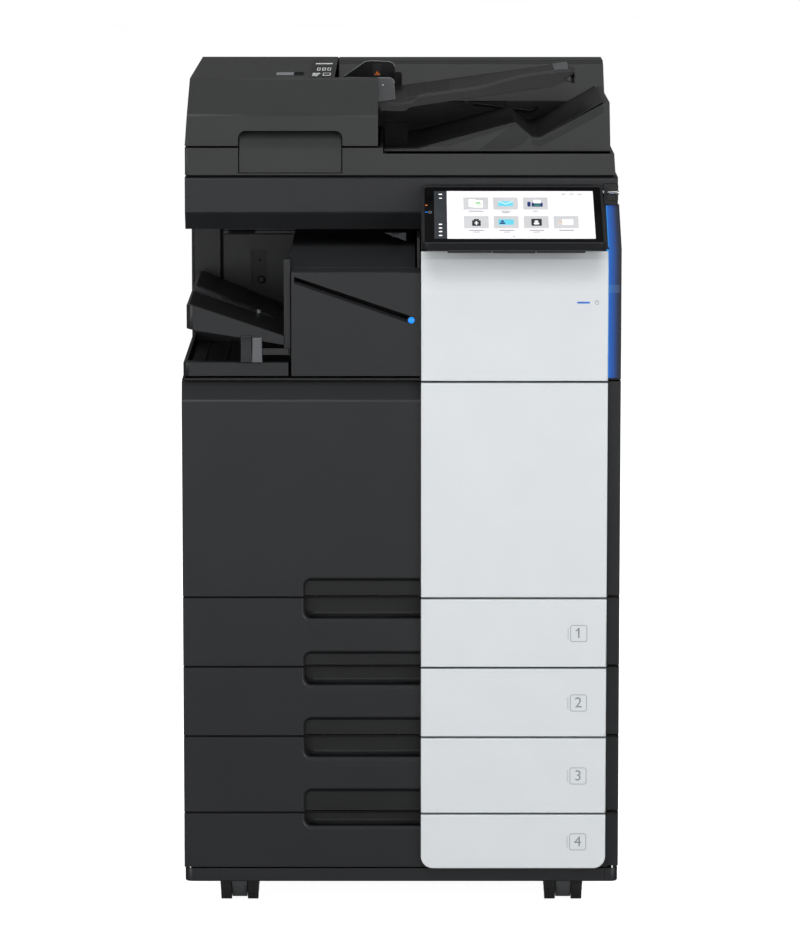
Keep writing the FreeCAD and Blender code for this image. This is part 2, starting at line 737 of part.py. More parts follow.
def make_scanner():
    wide = scanner_half
    case = body("scanner_body")
    f, r, low, top = scan_front, scan_rear, scan_low, scan_top
    pad(case, "x", [[(f + 14, low), (f, low + 25), (f, top), (r, top), (r, low)]], -wide, wide)
    w = s.skin
    pocket(case, "x", [[(f + 14 + w, low + w), (f + w, low + 25), (f + w, top - 4),
                        (r - w, top - 4), (r - w, low + w)]], -wide + w, wide - w)
    gx, gy = s.glass_half_x, s.glass_half_y
    slit = rect(-gx - 44, -gx - 26, -gy, gy)
    pocket(case, "z", [rect(-gx - 0.5, gx + 0.5, -gy - 0.5, gy + 0.5), slit],
           top - 2.4, top)
    pocket(case, "z", [rect(-gx + 6, gx - 6, -gy + 6, gy - 6),
                       rect(-gx - 41, -gx - 29, -gy + 4, gy - 4)], top - 4.2, top - 2.4)
    pad(case, "x", [rect(gy * -1 + 20, gy * -1 + 28, low + w - 0.5, low + 21.3),
                    rect(gy + 110, gy + 118, low + w - 0.5, low + 21.3)], -wide + 1, wide - 1)
    soften(case, 3, {"along": "x", "y": f, "z": top})
    soften(case, 8, {"along": "x", "y": f, "z": low + 25})
    finish("scanner_housing", case)

    finish("platen_glass", group("platen_glass_all", [
        box("main_glass", (-gx, gx), (-gy, gy), (top - 2.4, top - 0.2)),
        box("slit_glass", (-gx - 43.5, -gx - 26.5), (-gy + 0.5, gy - 0.5),
            (top - 2.4, top - 0.2)),
    ]))

    carriage = body("carriage_body")
    left = -wide + 24
    pad(carriage, "z", [rect(left, left + 42, -gy + 5, gy + 125)], low + 21.8, low + 58)
    pocket(carriage, "z", [rect(left + 14, left + 28, -gy + 12, gy - 5)], low + 48, low + 58)
    finish("scan_carriage", carriage)

    hinges = []
    for sx in (-1, 1):
        x = 200 * sx
        lugs = []
        for side in (-1, 1):
            x0, x1 = x + side * 20.5 - 4.5, x + side * 20.5 + 4.5
            lugs.append(box("hinge_lug", (x0, x1), (r, r + 12.5), (top - 40, hinge_z())))
            lugs.append(rod("hinge_eye", "x", 6, x0, x1, (hinge_y(), hinge_z())))
        pin = rod("hinge_pin", "x", 3.5, x - 22, x + 22, (hinge_y(), hinge_z()))
        hinges.append(fuse("feeder_hinge", lugs + [pin]))
    finish("feeder_hinges", group("feeder_hinges_all", hinges))


def hinge_y():
    return scan_rear + 6.5


def hinge_z():
    return feeder_low + 9


# ---------------------------------------------------------------- document feeder

def make_feeder_base():
    w = feeder_half
    low, high, right_high = feeder_low, feeder_split, feeder_low + s.feeder_base_low
    tub = body("feeder_base_body")
    step_x = s.cover_right + 7
    pad(tub, "y", [[(-w, low), (w - 3.3, low), (w - 5.3, right_high), (step_x, right_high),
                    (step_x, high), (-w, high)]], scan_front, scan_rear)
    pocket(tub, "z", [rect(-w + 4, step_x - 4, scan_front + 24, scan_rear - 4)], low + 5, high)
    pocket(tub, "z", [rect(step_x + 4, w - 10, scan_front + 4, scan_rear - 4)],
           low + 5, right_high)
    grip = rect(-230.4, -83.1, low + 2.2, high)
    pocket(tub, "y", [grip], scan_front, scan_front + 17)
    pocket(tub, "z", [rect(-s.glass_half_x - 2, s.glass_half_x + 2, -s.glass_half_y - 2,
                           s.glass_half_y + 2)], low - 1, low + 2)
    for sx in (-1, 1):
        pad(tub, "x", [rect(scan_rear - 1, scan_rear + 12, hinge_z() - 5.5, hinge_z() + 5.5)],
            mm(200 * sx - 15), mm(200 * sx + 15))
    doc.recompute()
    pocket(tub, "x", [disc(hinge_y(), hinge_z(), 3.5 + s.pin_gap)], mm(-216), mm(216))
    soften(tub, 4, {"along": "z", "x": -w, "y": scan_front})
    finish("feeder_base", tub)

    finish("platen_pad", box("platen_pad_box", (-s.glass_half_x, s.glass_half_x),
                             (-s.glass_half_y, s.glass_half_y), (scan_top + 0.8, low + 2)))


def make_feeder_cover():
    """Left cover of the feeder: sloping front, drafted end, inlet cut-out, hand recess."""
    w, low, top, f, r = feeder_half, cover_low, cover_top, scan_front, scan_rear
    skin = s.skin
    cover = body("feeder_cover_body")
    pad(cover, "x", [[(f, low), (f, low + 44), (f + 24, top), (r, top), (r, low)]],
        -w, s.cover_right)
    pocket(cover, "x", [[(f + skin, low - 1), (f + skin, low + 44), (f + 24 + skin, top - skin),
                         (r - skin, top - skin), (r - skin, low - 1)]],
           -w + 10, s.cover_right - skin)
    pocket(cover, "y", [[(-w - 1, low - 1), (-w, low), (-w + 7.1, top + 1), (-w - 1, top + 1)]],
           f, r)
    pocket(cover, "z", [rect(s.inlet_left, s.cover_right, s.inlet_front, r)], low, top)
    pad(cover, "y", [rect(-236, -77, low, low + 27)], f + 1, f + 24)
    pocket(cover, "y", [rect(-230.4, -83.1, low, low + 21.2)], f, f + 20)
    soften(cover, 10.6, {"along": "y", "x": -230.4, "z": low + 21.2},
           {"along": "y", "x": -83.1, "z": low + 21.2})
    soften(cover, 14, {"along": "x", "y": f, "z": low + 44})
    soften(cover, 2.5, {"along": "x", "y": f + 24, "z": top})
    finish("feeder_cover", cover)


def make_feeder_housing():
    """Sheet exit tray with its folded floor, and the rear tower."""
    low = feeder_low + s.feeder_base_low + 1.5
    w = feeder_half
    left = s.cover_right + 7 + s.slide_gap
    fold = body("feeder_housing_body")
    outer = [(left, low), (left, low + 2.5), (23.7, low + 3.5), (159.8, low + 40),
             (184, low + 20), (196, low + 19), (w - 16.8, low + 69.5), (w - 11.3, low + 69.5),
             (w - 9.8, low)]
    pad(fold, "y", [outer], scan_front + 24, tower_front + 1)
    tower = [(tower_front, low), (tower_front + 4, low + 48), (tower_front + 66, low + 98),
             (tower_front + 84, low + 103.2), (scan_rear - 4, low + 103.2),
             (scan_rear, low + 99), (scan_rear, low)]
    pad(fold, "x", [tower], s.inlet_left + 2, w - 5.5)
    inner = [(60, low - 1), (60, low + 9.5), (159.8, low + 36), (184, low + 16),
             (196, low + 15), (w - 17, low + 64.5), (w - 14.5, low + 64.5), (w - 13.5, low - 1)]
    pocket(fold, "y", [inner], scan_front + 27, tower_front - 3)
    skin = s.skin
    hollow = [(tower_front + skin, low - 1), (tower_front + 4 + skin, low + 46),
              (tower_front + 68, low + 95), (tower_front + 84, low + 100),
              (scan_rear - 4, low + 100), (scan_rear - skin, low + 97), (scan_rear - skin, low - 1)]
    pocket(fold, "x", [hollow], s.inlet_left + 5, w - 8.5)
    pocket(fold, "z", [rect(s.inlet_left, left, tower_front - 1, scan_rear + 1)], low, cover_low)
    finish("feeder_housing", fold)

    shaft = rod("roller_shaft", "y", 4, mm(-110), mm(150), (-150, roller_z()))
    tyre = rod("roller_tyre", "y", 13, mm(-20), mm(64), (-150, roller_z()))
    finish("pickup_roller", fuse("pickup_roller_all", [shaft, tyre]))


def roller_z():
    return cover_low + 66


def tray_z(x, above=0):
    """Height of the document tray's surface at x."""
    return cover_low + s.tray_rise + s.tray_slope * (x + 8) + above


def make_document_tray():
    left, right = s.inlet_left + 3, mm(236)
    tray = body("feed_tray_body")
    pad(tray, "y", [[(left, tray_z(left, -8)), (left, tray_z(left)), (right, tray_z(right)),
                     (right + 10, tray_z(right)), (right + 11, tray_z(right, -11)),
                     (right, tray_z(right, -8))]],
        s.inlet_front + 6, tower_front - 7)
    soften(tray, 12, {"along": None, "x": right + 10, "y": s.inlet_front + 6, "tol": 2.0})
    finish("feed_tray", tray)

    for name, ys in (("guide_front", (s.inlet_front + 6.5, s.inlet_front + 11)),
                     ("guide_rear", (tower_front - 12, tower_front - 7.5))):
        guide = body(name + "_body")
        end = mm(-8)
        a, b = left + 8, end
        pad(guide, "y", [[(a, tray_z(a, 0.6)), (b, tray_z(b, 0.6)), (b - 4, tray_z(b, 26)),
                          (b - 12, tray_z(b, 28)), (a, tray_z(a, 40))]], *ys)
        finish(name, guide)


# ---------------------------------------------------------------- touch panel

def put_on_slope(thing):
    """Place a piece that was drawn flat onto the slope of the touch panel."""
    thing.Placement = FreeCAD.Placement(V(), FreeCAD.Rotation(V(1, 0, 0), 20))
    thing.setExpression("Placement.Rotation.Angle", f"atan({txt(s.panel_slope)})")
    bind(thing, "Placement.Base.x", s.panel_mid)
    bind(thing, "Placement.Base.y", panel_front())
    bind(thing, "Placement.Base.z", panel_lip)


def panel_front():
    return lip_y + 7.5


def under_panel(y, gap):
    """Height of the panel's underside at y, less a gap."""
    return panel_lip + s.panel_slope * (y - panel_front()) - gap


def make_touch_panel():
    hw, thick = s.panel_wide / 2, s.panel_thick
    slab = body("touch_slab_body")
    pad(slab, "z", [rect(-hw, hw, mm(0), s.panel_long)], mm(0), thick)
    rim = s.screen_rim
    pocket(slab, "z", [rect(-hw + rim, hw - rim, rim, s.panel_long - rim)],
           thick - s.screen_thick - 0.1, thick)
    soften(slab, 9, {"along": "z", "x": -hw, "y": 0}, {"along": "z", "x": hw, "y": 0},
           {"along": "z", "x": -hw, "y": s.panel_long}, {"along": "z", "x": hw, "y": s.panel_long})
    soften(slab, 4, {"along": "x", "y": 0, "z": 0}, kind="Fillet")
    put_on_slope(slab)
    y, z = panel_pin()
    lug = box("panel_lug", (s.panel_mid - 30, s.panel_mid + 30), (y - 5, y + 5),
              (z - 5, under_panel(y - 5, -1.5)))
    bore = rod("panel_bore", "x", s.pin_radius + s.pin_gap, s.panel_mid - 31,
               s.panel_mid + 31, (y, z))
    finish("control_panel", cut("control_panel_cut", fuse("control_panel_all", [slab, lug]), [bore]))

    screen = body("screen_body")
    gap = rim + 0.25
    pad(screen, "z", [rect(-hw + gap, hw - gap, gap, s.panel_long - gap)],
        thick - s.screen_thick - 0.1, thick - 0.1)
    corners = [{"along": "z", "x": sx * (hw - gap), "y": y_end}
               for sx in (-1, 1) for y_end in (gap, s.panel_long - gap)]
    soften(screen, 5.5, *corners)
    put_on_slope(screen)
    finish("touch_screen", screen)

    ramp = (scan_low + 36.8 - toner_high - 3) / (scan_front - 8 - front - 8)
    foot_low = toner_high + 3
    mount = body("panel_mount_body")
    y_front, y_end = y - 5, scan_front - 28
    pad(mount, "x", [[(y_front, foot_low - 0.2), (front + 7, foot_low - 0.2),
                      (y_end, foot_low + ramp * (y_end - front - 8) + 0.4),
                      (y_end, under_panel(y_end, 1.2)), (y_front, under_panel(y_front, 1.2))]],
        s.panel_mid - 92, s.panel_mid + 99)
    pocket(mount, "x", [rect(y_front, y + 9, foot_low - 0.2, under_panel(y + 9, -3))],
           s.panel_mid - 31, s.panel_mid + 31)
    pin = rod("panel_pin", "x", s.pin_radius, s.panel_mid - 45, s.panel_mid + 45, (y, z))
    finish("panel_mount", fuse("panel_mount_all", [mount, pin]))


def panel_pin():
    y = panel_front() + 18.5
    return y, under_panel(y, 6)


# ---------------------------------------------------------------- print unit

def make_print_units():
    f, b = s.unit_front, unit_back
    base = door_low + 12
    finish("laser_unit", box("laser_box", (unit_left + 5, unit_right), (f, b),
                             (base, base + 70)))
    units = []
    for i in range(4):
        left = unit_left + s.drum_pitch * i
        shell = box("imaging_shell", (left, left + 74), (f, b), (base + 82, base + 140))
        drum_bore = rod("drum_bore", "y", 16, f, b, (left + 37, base + 136))
        drum = rod("drum", "y", 15, f, b, (left + 37, base + 136))
        units += [cut("imaging_case", shell, [drum_bore]), drum]
    finish("imaging_units", group("imaging_units_all", units))

    belt = body("transfer_belt_body")
    low, high = base + 160, base + 206
    left, right = unit_left - 10, unit_right - 10
    pad(belt, "y", [rect(left, right, low, high)], f, b)
    soften(belt, 22, {"along": "y", "x": left, "z": low}, {"along": "y", "x": right, "z": low},
           {"along": "y", "x": left, "z": high}, {"along": "y", "x": right, "z": high})
    pocket(belt, "y", [rect(left + 26, right - 26, low + 2, high - 2)], f, b)
    finish("transfer_unit", belt)

    fuser = box("fuser_case", (fuser_left, fuser_right), (f, b), (base + 140, base + 270))
    nip = box("fuser_nip", (fuser_left + 30, fuser_left + 47), (f + 20, b - 20),
              (base + 138, base + 272))
    finish("fuser_unit", cut("fuser_unit_cut", fuser, [nip]))

    bottle = body("waste_body")
    pad(bottle, "y", [rect(unit_left - 15, unit_right, base + 95, base + 150)],
        front_back + 6, f - s.sheet)
    soften(bottle, 6, {"along": "x", "y": front_back + 6, "z": base + 95},
           {"along": "x", "y": front_back + 6, "z": base + 150})
    finish("waste_toner_box", bottle)

    supply = box("supply_case", (frame_left + 22.5, frame_left + 242.5), (b + 6, b + 78),
                 (base, base + 130))
    board = box("board_plate", (frame_left + 282.5, frame_right - 32), (b + 60, b + 64),
                (base, base + 230))
    finish("electronics", group("electronics_all", [supply, board]))

    x, z = inlet_centre()
    socket = body("inlet_body")
    pad(socket, "y", [rect(x - 24.5, x + 24.5, z - 14.5, z + 14.5)], rear - 22, rear - 0.5)
    pocket(socket, "y", [[(x - 12, z - 8), (x + 12, z - 8), (x + 12, z + 4), (x + 8, z + 8),
                          (x - 8, z + 8), (x - 12, z + 4)]], rear - 17, rear - 0.5)
    finish("power_inlet", socket)


# ---------------------------------------------------------------- right side

def make_side_door():
    ys, zs = (s.side_door_front, side_door_back), (side_door_low, side_door_high)
    inside = half - s.side_door_thick
    door = body("side_door_body")
    pad(door, "x", [rect(*ys, *zs)], inside, half)
    pocket(door, "x", [rect(ys[0] + 40, ys[1] - 50, bypass_low, bypass_high)],
           half - 9, half)
    pocket(door, "x", [rect(ys[0] + 60, ys[1] - 70, zs[0] + 30, bypass_low - 30)],
           inside, inside + 9)
    pocket(door, "x", [rect(-45, 45, zs[1] - 30, zs[1] - 14)], half - 9, half)
    soften(door, 3, {"along": "z", "x": half, "y": ys[0]}, {"along": "z", "x": half, "y": ys[1]},
           {"along": "y", "x": half, "z": zs[1]}, {"along": "y", "x": half, "z": zs[0]})
    finish("side_door", door)

    tray = body("bypass_body")
    gap = s.slide_gap
    pad(tray, "x", [rect(ys[0] + 40 + gap, ys[1] - 50 - gap, bypass_low + 2.5,
                         bypass_high - gap)], half - 7, half - 0.4)
    pocket(tray, "x", [rect(-30, 30, bypass_high - 18, bypass_high - gap)],
           half - 4, half - 0.4)
    finish("bypass_tray", tray)


# ---------------------------------------------------------------- casters

def make_casters():
    spots = (("front_left", -1, s.caster_front), ("front_right", 1, s.caster_front),
             ("rear_left", -1, caster_rear), ("rear_right", 1, caster_rear))
    hood = s.hood_wide / 2
    axle = s.wheel_radius
    top = skirt_low + 5 - 1
    for name, sx, y in spots:
        x = caster_x * sx
        axle_y = y + s.wheel_trail
        cheek = rod("caster_cheek", "x", s.wheel_radius - 3.5, x - hood, x + hood,
                    (axle_y, axle))
        neck = box("caster_neck", (x - hood, x + hood), (y - 10, axle_y + 12), (axle, top))
        stem = rod("caster_stem", "z", 5, axle + 10, top + 6, (x, y))
        bore = rod("caster_axle_bore", "x", 3 + s.pin_gap, x - hood - 1, x + hood + 1,
                   (axle_y, axle))
        finish(f"caster_{name}",
               cut("caster_cut", fuse("caster_all", [cheek, neck, stem]), [bore]))

        wheels = body(f"wheels_{name}_body")
        for side in (-1, 1):
            inner = x + (hood + 1) * side
            outer = inner + s.wheel_wide * side
            ends = (outer, inner) if side < 0 else (inner, outer)
            pad(wheels, "x", [disc(axle_y, axle, s.wheel_radius)], *ends)
            if side < 0:
                pad(wheels, "x", [disc(axle_y, axle, 3)], inner - 1, x + hood + 2)
        finish(f"wheels_{name}", wheels)


# ---------------------------------------------------------------- build and write

def check_document():
    """Every object computed, every sub-part a valid solid shape."""
    doc.recompute()
    for thing in doc.Objects:
        if "Invalid" in thing.State or "Error" in thing.State:
            raise RuntimeError(f"{thing.Name} failed: {thing.State}")
    for name, thing in parts.items():
        if thing.Shape.isNull() or not thing.Shape.isValid() or not thing.Shape.Solids:
            raise RuntimeError(f"{name} has no valid solid")


make_frame()
make_covers()
make_trays()
make_front_door()
make_toner_door()
make_upper_front()
make_toner()
make_bay()
make_finisher()
make_scanner()
make_feeder_base()
make_feeder_cover()
make_feeder_housing()
make_document_tray()
make_touch_panel()
make_print_units()
make_side_door()
make_casters()
check_document()

os.makedirs("parts", exist_ok=True)
for name, thing in parts.items():
    thing.Shape.exportStep(f"parts/{name}.step")
print(f"{len(parts)} sub-parts written")
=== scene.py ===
import math

import bmesh
import bpy
from mathutils import Matrix, Vector


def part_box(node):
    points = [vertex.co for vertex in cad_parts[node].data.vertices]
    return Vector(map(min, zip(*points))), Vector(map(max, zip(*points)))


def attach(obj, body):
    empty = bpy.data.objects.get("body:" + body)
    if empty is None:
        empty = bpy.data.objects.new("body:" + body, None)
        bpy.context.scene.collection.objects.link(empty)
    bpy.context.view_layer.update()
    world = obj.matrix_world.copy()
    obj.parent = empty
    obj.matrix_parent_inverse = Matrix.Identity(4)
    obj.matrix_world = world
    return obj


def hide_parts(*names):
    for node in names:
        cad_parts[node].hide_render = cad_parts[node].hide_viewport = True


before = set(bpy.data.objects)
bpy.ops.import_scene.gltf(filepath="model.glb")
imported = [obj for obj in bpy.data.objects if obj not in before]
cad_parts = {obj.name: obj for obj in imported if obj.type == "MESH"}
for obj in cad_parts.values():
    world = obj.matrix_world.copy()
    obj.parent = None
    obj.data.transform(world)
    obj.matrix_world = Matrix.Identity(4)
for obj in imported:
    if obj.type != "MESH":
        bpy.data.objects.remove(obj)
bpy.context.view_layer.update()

print("stage: frame loaded,", len(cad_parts), "CAD nodes")
scene = bpy.context.scene


# Materials. Each starts from what the real one is and how its surface was made.

def hexToLinear(text):
    out = []
    for i in (1, 3, 5):
        c = int(text[i:i + 2], 16) / 255
        out.append(c / 12.92 if c <= 0.04045 else ((c + 0.055) / 1.055) ** 2.4)
    return (*out, 1.0)


def perMm(size):
    return 1000 / size   # texture scale for a feature this many millimetres across


def addNode(tree, kind, sockets=None, stops=None, **settings):
    node = tree.nodes.new("ShaderNode" + kind)
    for name, value in settings.items():
        setattr(node, name, value)
    for i, (place, colour) in enumerate(stops or []):
        if i == len(node.color_ramp.elements):
            node.color_ramp.elements.new(place)
        node.color_ramp.elements[i].position = place
        node.color_ramp.elements[i].color = hexToLinear(colour)
    for name, value in (sockets or {}).items():
        if isinstance(value, bpy.types.NodeSocket):
            tree.links.new(value, node.inputs[name])
        else:
            node.inputs[name].default_value = value
    return node


def startMaterial(name, roughness, ior=None, **sockets):
    material = bpy.data.materials.new(name)
    material.use_nodes = True
    tree = material.node_tree
    shader = tree.nodes["Principled BSDF"]
    shader.inputs["Roughness"].default_value = roughness
    if ior:
        shader.inputs["IOR"].default_value = ior
    for socket, value in sockets.items():
        shader.inputs[socket.replace("_", " ")].default_value = value
    coords = addNode(tree, "TexCoord").outputs["Object"]
    return material, tree, shader, coords


def mouldedPlastic(name, dark, light, roughness, ior, grain, depth, cloud=70, **sockets):
    # dark to light: the colour's drift over cloud mm; grain and depth mm: the mould's texture
    material, tree, shader, coords = startMaterial(name, roughness, ior, **sockets)
    drift = addNode(tree, "TexNoise", {"Vector": coords, "Scale": perMm(cloud), "Detail": 2.0})
    spark = addNode(tree, "TexNoise", {"Vector": coords, "Scale": perMm(grain), "Detail": 3.0,
                                       "Roughness": 0.6})
    both = addNode(tree, "Mix", {0: 0.3, 2: drift.outputs["Fac"], 3: spark.outputs["Fac"]})
    colour = addNode(tree, "ValToRGB", {"Fac": both.outputs[0]}, [(0.32, dark), (0.68, light)])
    tree.links.new(colour.outputs["Color"], shader.inputs["Base Color"])
    gloss = addNode(tree, "MapRange", {"Value": spark.outputs["Fac"], "From Min": 0.3, "From Max": 0.7,
                                       "To Min": roughness - 0.05, "To Max": roughness + 0.06})
    tree.links.new(gloss.outputs["Result"], shader.inputs["Roughness"])
    bump = addNode(tree, "Bump", {"Height": spark.outputs["Fac"], "Distance": depth / 1000,
                                  "Strength": 0.5})
    tree.links.new(bump.outputs["Normal"], shader.inputs["Normal"])
    return material


# ABS from a spark-eroded mould: satin, with a fine sandy grain (0.3 mm, drawn at 1.3 mm to show)
charcoalAbs = mouldedPlastic("textured_abs_charcoal", "#212224", "#242527", 0.4, 1.46, 1.3, 0.035)
# slate: lighter than the charcoal; on the handle beads and lips, the feed tray's rim and the exit ridge
# its lighter colour is a painted highlight
slateAndHighlightAbs = mouldedPlastic("textured_abs_slate_and_painted_highlight", "#2e2f2f", "#313232", 0.4, 1.46, 1.3, 0.035)
whiteAbs = mouldedPlastic("textured_abs_white", "#e6eaed", "#e9edef", 0.38, 1.46, 1.3, 0.02)
greyAbs = mouldedPlastic("textured_abs_grey", "#808387", "#8d9094", 0.4, 1.46, 1.3, 0.04)
# plain ABS inside the machine: blacker and smoother, so it shows soft highlights
blackAbs = mouldedPlastic("smooth_abs_black", "#0f0f10", "#161617", 0.34, 1.46, 4, 0.02)
# graphite: a shaded copy of the charcoal ABS, its darker tone is painted shade
shadeAbs = mouldedPlastic("satin_abs_painted_shade_graphite", "#1f2021", "#242526", 0.4, 1.46, 2, 0.03)
# an even darker copy for walls and liners inside recesses: painted shade
recessShadeAbs = mouldedPlastic("satin_abs_painted_recess_shade", "#141516", "#18191a", 0.45, 1.46, 2, 0.03)
ashAbs = mouldedPlastic("textured_abs_ash", "#595b5e", "#646669", 0.42, 1.46, 1.3, 0.04)
# glass-filled nylon: dull, with fibre flow marks
greyNylon = mouldedPlastic("glass_filled_nylon", "#4d4e50", "#595a5c", 0.5, 1.53, 2, 0.05)
hardRubber = mouldedPlastic("hard_rubber", "#1d1d1e", "#262627", 0.7, 1.52, 1.5, 0.06)
feedRubber = mouldedPlastic("feed_roller_rubber", "#232425", "#303132", 0.62, 1.52, 2, 0.1)
foamPad = mouldedPlastic("white_film_on_foam", "#dedfdc", "#eaebe8", 0.55, 1.4, 6, 0.15)
yellowPp = mouldedPlastic("polypropylene_yellow", "#e3b515", "#edc124", 0.36, 1.49, 3, 0.03)
magentaPp = mouldedPlastic("polypropylene_magenta", "#b8276a", "#c43377", 0.36, 1.49, 3, 0.03)
cyanPp = mouldedPlastic("polypropylene_cyan", "#1c87b8", "#2894c6", 0.36, 1.49, 3, 0.03)
blackPp = mouldedPlastic("polypropylene_black", "#19191a", "#202021", 0.36, 1.49, 3, 0.03)
# printing ink and film labels: nearly even colour, with the faint mottle of the print
whiteInk = mouldedPlastic("white_printing_ink", "#d9dadb", "#e6e7e8", 0.5, 1.5, 1, 0.005)
greyInk = mouldedPlastic("grey_printing_ink", "#8b8f94", "#979ba0", 0.5, 1.5, 1, 0.005)
orangeInk = mouldedPlastic("orange_printing_ink", "#c8621c", "#d66f28", 0.5, 1.5, 1, 0.005)
# near-black for seals and dark joints; where it fills grooves, hollows, holes, slots and vent openings
# its black is painted shade
blackFoamAndShade = mouldedPlastic("open_cell_foam_and_painted_shade", "#0c0c0d", "#161617", 0.9, 1.3, 1.5, 0.4)
copyPaper = mouldedPlastic("copy_paper", "#eeeeeb", "#f6f6f4", 0.85, 1.5, 1, 0.02, cloud=30)


def sheetMetal(name, dark, light, roughness, spangle):
    # spangle mm: the size of the zinc crystals or of the grinding marks
    material, tree, shader, coords = startMaterial(name, roughness, Metallic=1.0)
    cells = addNode(tree, "TexVoronoi", {"Vector": coords, "Scale": perMm(spangle)})
    tone = addNode(tree, "SeparateColor", {"Color": cells.outputs["Color"]}).outputs["Red"]
    colour = addNode(tree, "ValToRGB", {"Fac": tone}, [(0.0, dark), (1.0, light)])
    tree.links.new(colour.outputs["Color"], shader.inputs["Base Color"])
    gloss = addNode(tree, "MapRange", {"Value": tone, "To Min": roughness - 0.06,
                                       "To Max": roughness + 0.06})
    tree.links.new(gloss.outputs["Result"], shader.inputs["Roughness"])
    return material


galvanised = sheetMetal("galvanised_steel", "#a3a7a9", "#bcbfc0", 0.4, 9)
satinPlate = sheetMetal("satin_nickel_plate", "#c9cbcc", "#d8dadb", 0.24, 2)
darkSteel = sheetMetal("blackened_spring_steel", "#3a3b3d", "#46474a", 0.35, 3)


def clearSheet(name, tint, roughness, transmission, ior):
    # glass or clear moulding: the faint waviness of the sheet shows only in reflections
    material, tree, shader, coords = startMaterial(name, roughness, ior,
                                                   Transmission_Weight=transmission)
    wave = addNode(tree, "TexNoise", {"Vector": coords, "Scale": perMm(120), "Detail": 1.0})
    colour = addNode(tree, "ValToRGB", {"Fac": wave.outputs["Fac"]}, [(0.2, tint[0]), (0.8, tint[1])])
    tree.links.new(colour.outputs["Color"], shader.inputs["Base Color"])
    bump = addNode(tree, "Bump", {"Height": wave.outputs["Fac"], "Distance": 0.00003})
    tree.links.new(bump.outputs["Normal"], shader.inputs["Normal"])
    return material


floatGlass = clearSheet("float_glass", ("#dfeee9", "#e9f4f0"), 0.0, 0.95, 1.52)
coverGlass = clearSheet("black_printed_cover_glass", ("#040405", "#070708"), 0.12, 0.0, 1.52)
coverGlass.node_tree.nodes["Principled BSDF"].inputs["Specular IOR Level"].default_value = 0.2   # coated
transferFilm = clearSheet("polyimide_film", ("#16130f", "#1d1914"), 0.12, 0.0, 1.7)


def litPanel(name, low, high, strength, size=40):
    # lit from behind: a display's dots or a light guide
    material, tree, shader, coords = startMaterial(name, 0.3, 1.5)
    cloud = addNode(tree, "TexNoise", {"Vector": coords, "Scale": perMm(size), "Detail": 1.0})
    colour = addNode(tree, "ValToRGB", {"Fac": cloud.outputs["Fac"]}, [(0.3, low), (0.7, high)])
    tree.links.new(colour.outputs["Color"], shader.inputs["Base Color"])
    tree.links.new(colour.outputs["Color"], shader.inputs["Emission Color"])
    shader.inputs["Emission Strength"].default_value = strength
    return material


blueLight = litPanel("blue_light_guide", "#1671cf", "#1f82e2", 0.95, 5)
deepBlueLight = litPanel("deep_blue_light_guide", "#15509c", "#1b5cac", 0.8, 5)
paleLens = litPanel("pale_light_guide", "#c9ced2", "#d4d9dc", 0.0, 3)
print("stage: materials,", len(bpy.data.materials))


# Stage: pale floor and backdrop, soft light, camera.

stagePlan = {"radius": 60, "floorGlow": 1.0, "backdropGlow": 1.0, "air": 0.12}
backdropPaper = litPanel("seamless_backdrop_paper", "#fafafa", "#ffffff", stagePlan["backdropGlow"], 900)
floorPaper = litPanel("pale_floor_paper", "#f1f1f1", "#f5f5f5", stagePlan["floorGlow"], 900)


def stageSheet(name, bm, material):
    mesh = bpy.data.meshes.new(name)
    bm.to_mesh(mesh)
    bm.free()
    mesh.shade_smooth()
    mesh.materials.append(material)
    sheet = bpy.data.objects.new(name, mesh)
    scene.collection.objects.link(sheet)
    sheet.visible_glossy = sheet.visible_diffuse = sheet.visible_transmission = False


def makeStage():
    # a round pale floor that curves up into a half dome, far enough away to leave every view plain
    far = stagePlan["radius"]
    for name, stops, material in (("studio_floor", [(0.0, 0.0), (far, 0.0)], floorPaper),
                                  ("studio_backdrop", [(far * math.cos(a), far * math.sin(a)) for a in
                                                       (math.radians(90 * k / 24) for k in range(25))],
                                   backdropPaper)):
        bm = bmesh.new()
        rings = [[bm.verts.new((r * math.cos(a), r * math.sin(a), z - 0.0005))
                  for a in (math.tau * i / 96 for i in range(96))] for r, z in
                 ((max(r, 0.001), z) for r, z in stops)]
        for low, high in zip(rings, rings[1:]):
            for i in range(96):
                bm.faces.new((low[i], low[(i + 1) % 96], high[(i + 1) % 96], high[i]))
        stageSheet(name, bm, material)


makeStage()

world = bpy.data.worlds.new("studio_air")
scene.world = world
world.use_nodes = True
world.node_tree.nodes["Background"].inputs["Color"].default_value = hexToLinear("#ffffff")
world.node_tree.nodes["Background"].inputs["Strength"].default_value = stagePlan["air"]

lamps = {   # place, aim, width and height in metres, watts
    "left_softbox": ((-3.4, -4.2, 1.5), (0, 0, 0.7), 3.0, 3.4, 105),
    "right_softbox": ((3.4, -4.2, 1.5), (0, 0, 0.7), 3.0, 3.4, 105),
    "top_softbox": ((0, -0.6, 4.6), (0, 0, 0.9), 3.0, 3.0, 40),
    "high_softbox": ((0, -3.6, 4.4), (0, 0, 0.7), 3.0, 1.6, 75),
    "low_card": ((0, -6.4, 0.6), (0, 0, 1.0), 4.0, 0.8, 30),
    "rear_softbox": ((0, 4.2, 3.8), (0, 0, 0.7), 3.0, 3.0, 80),
    "rear_left_softbox": ((-4.2, 3.2, 1.2), (0, 0, 0.6), 3.0, 2.4, 110),
    "rear_right_softbox": ((4.2, 3.2, 1.2), (0, 0, 0.6), 3.0, 2.4, 110),
}
for name, (place, aim, wide, high, watts) in lamps.items():
    light = bpy.data.lights.new(name, "AREA")
    light.shape = "RECTANGLE"
    light.size, light.size_y, light.energy = wide, high, watts
    lamp = bpy.data.objects.new(name, light)
    lamp.location = place
    lamp.rotation_euler = (Vector(aim) - Vector(place)).to_track_quat("-Z", "Y").to_euler()
    lamp.visible_glossy = not name.startswith(("rear", "high"))   # those fill without glare
    scene.collection.objects.link(lamp)

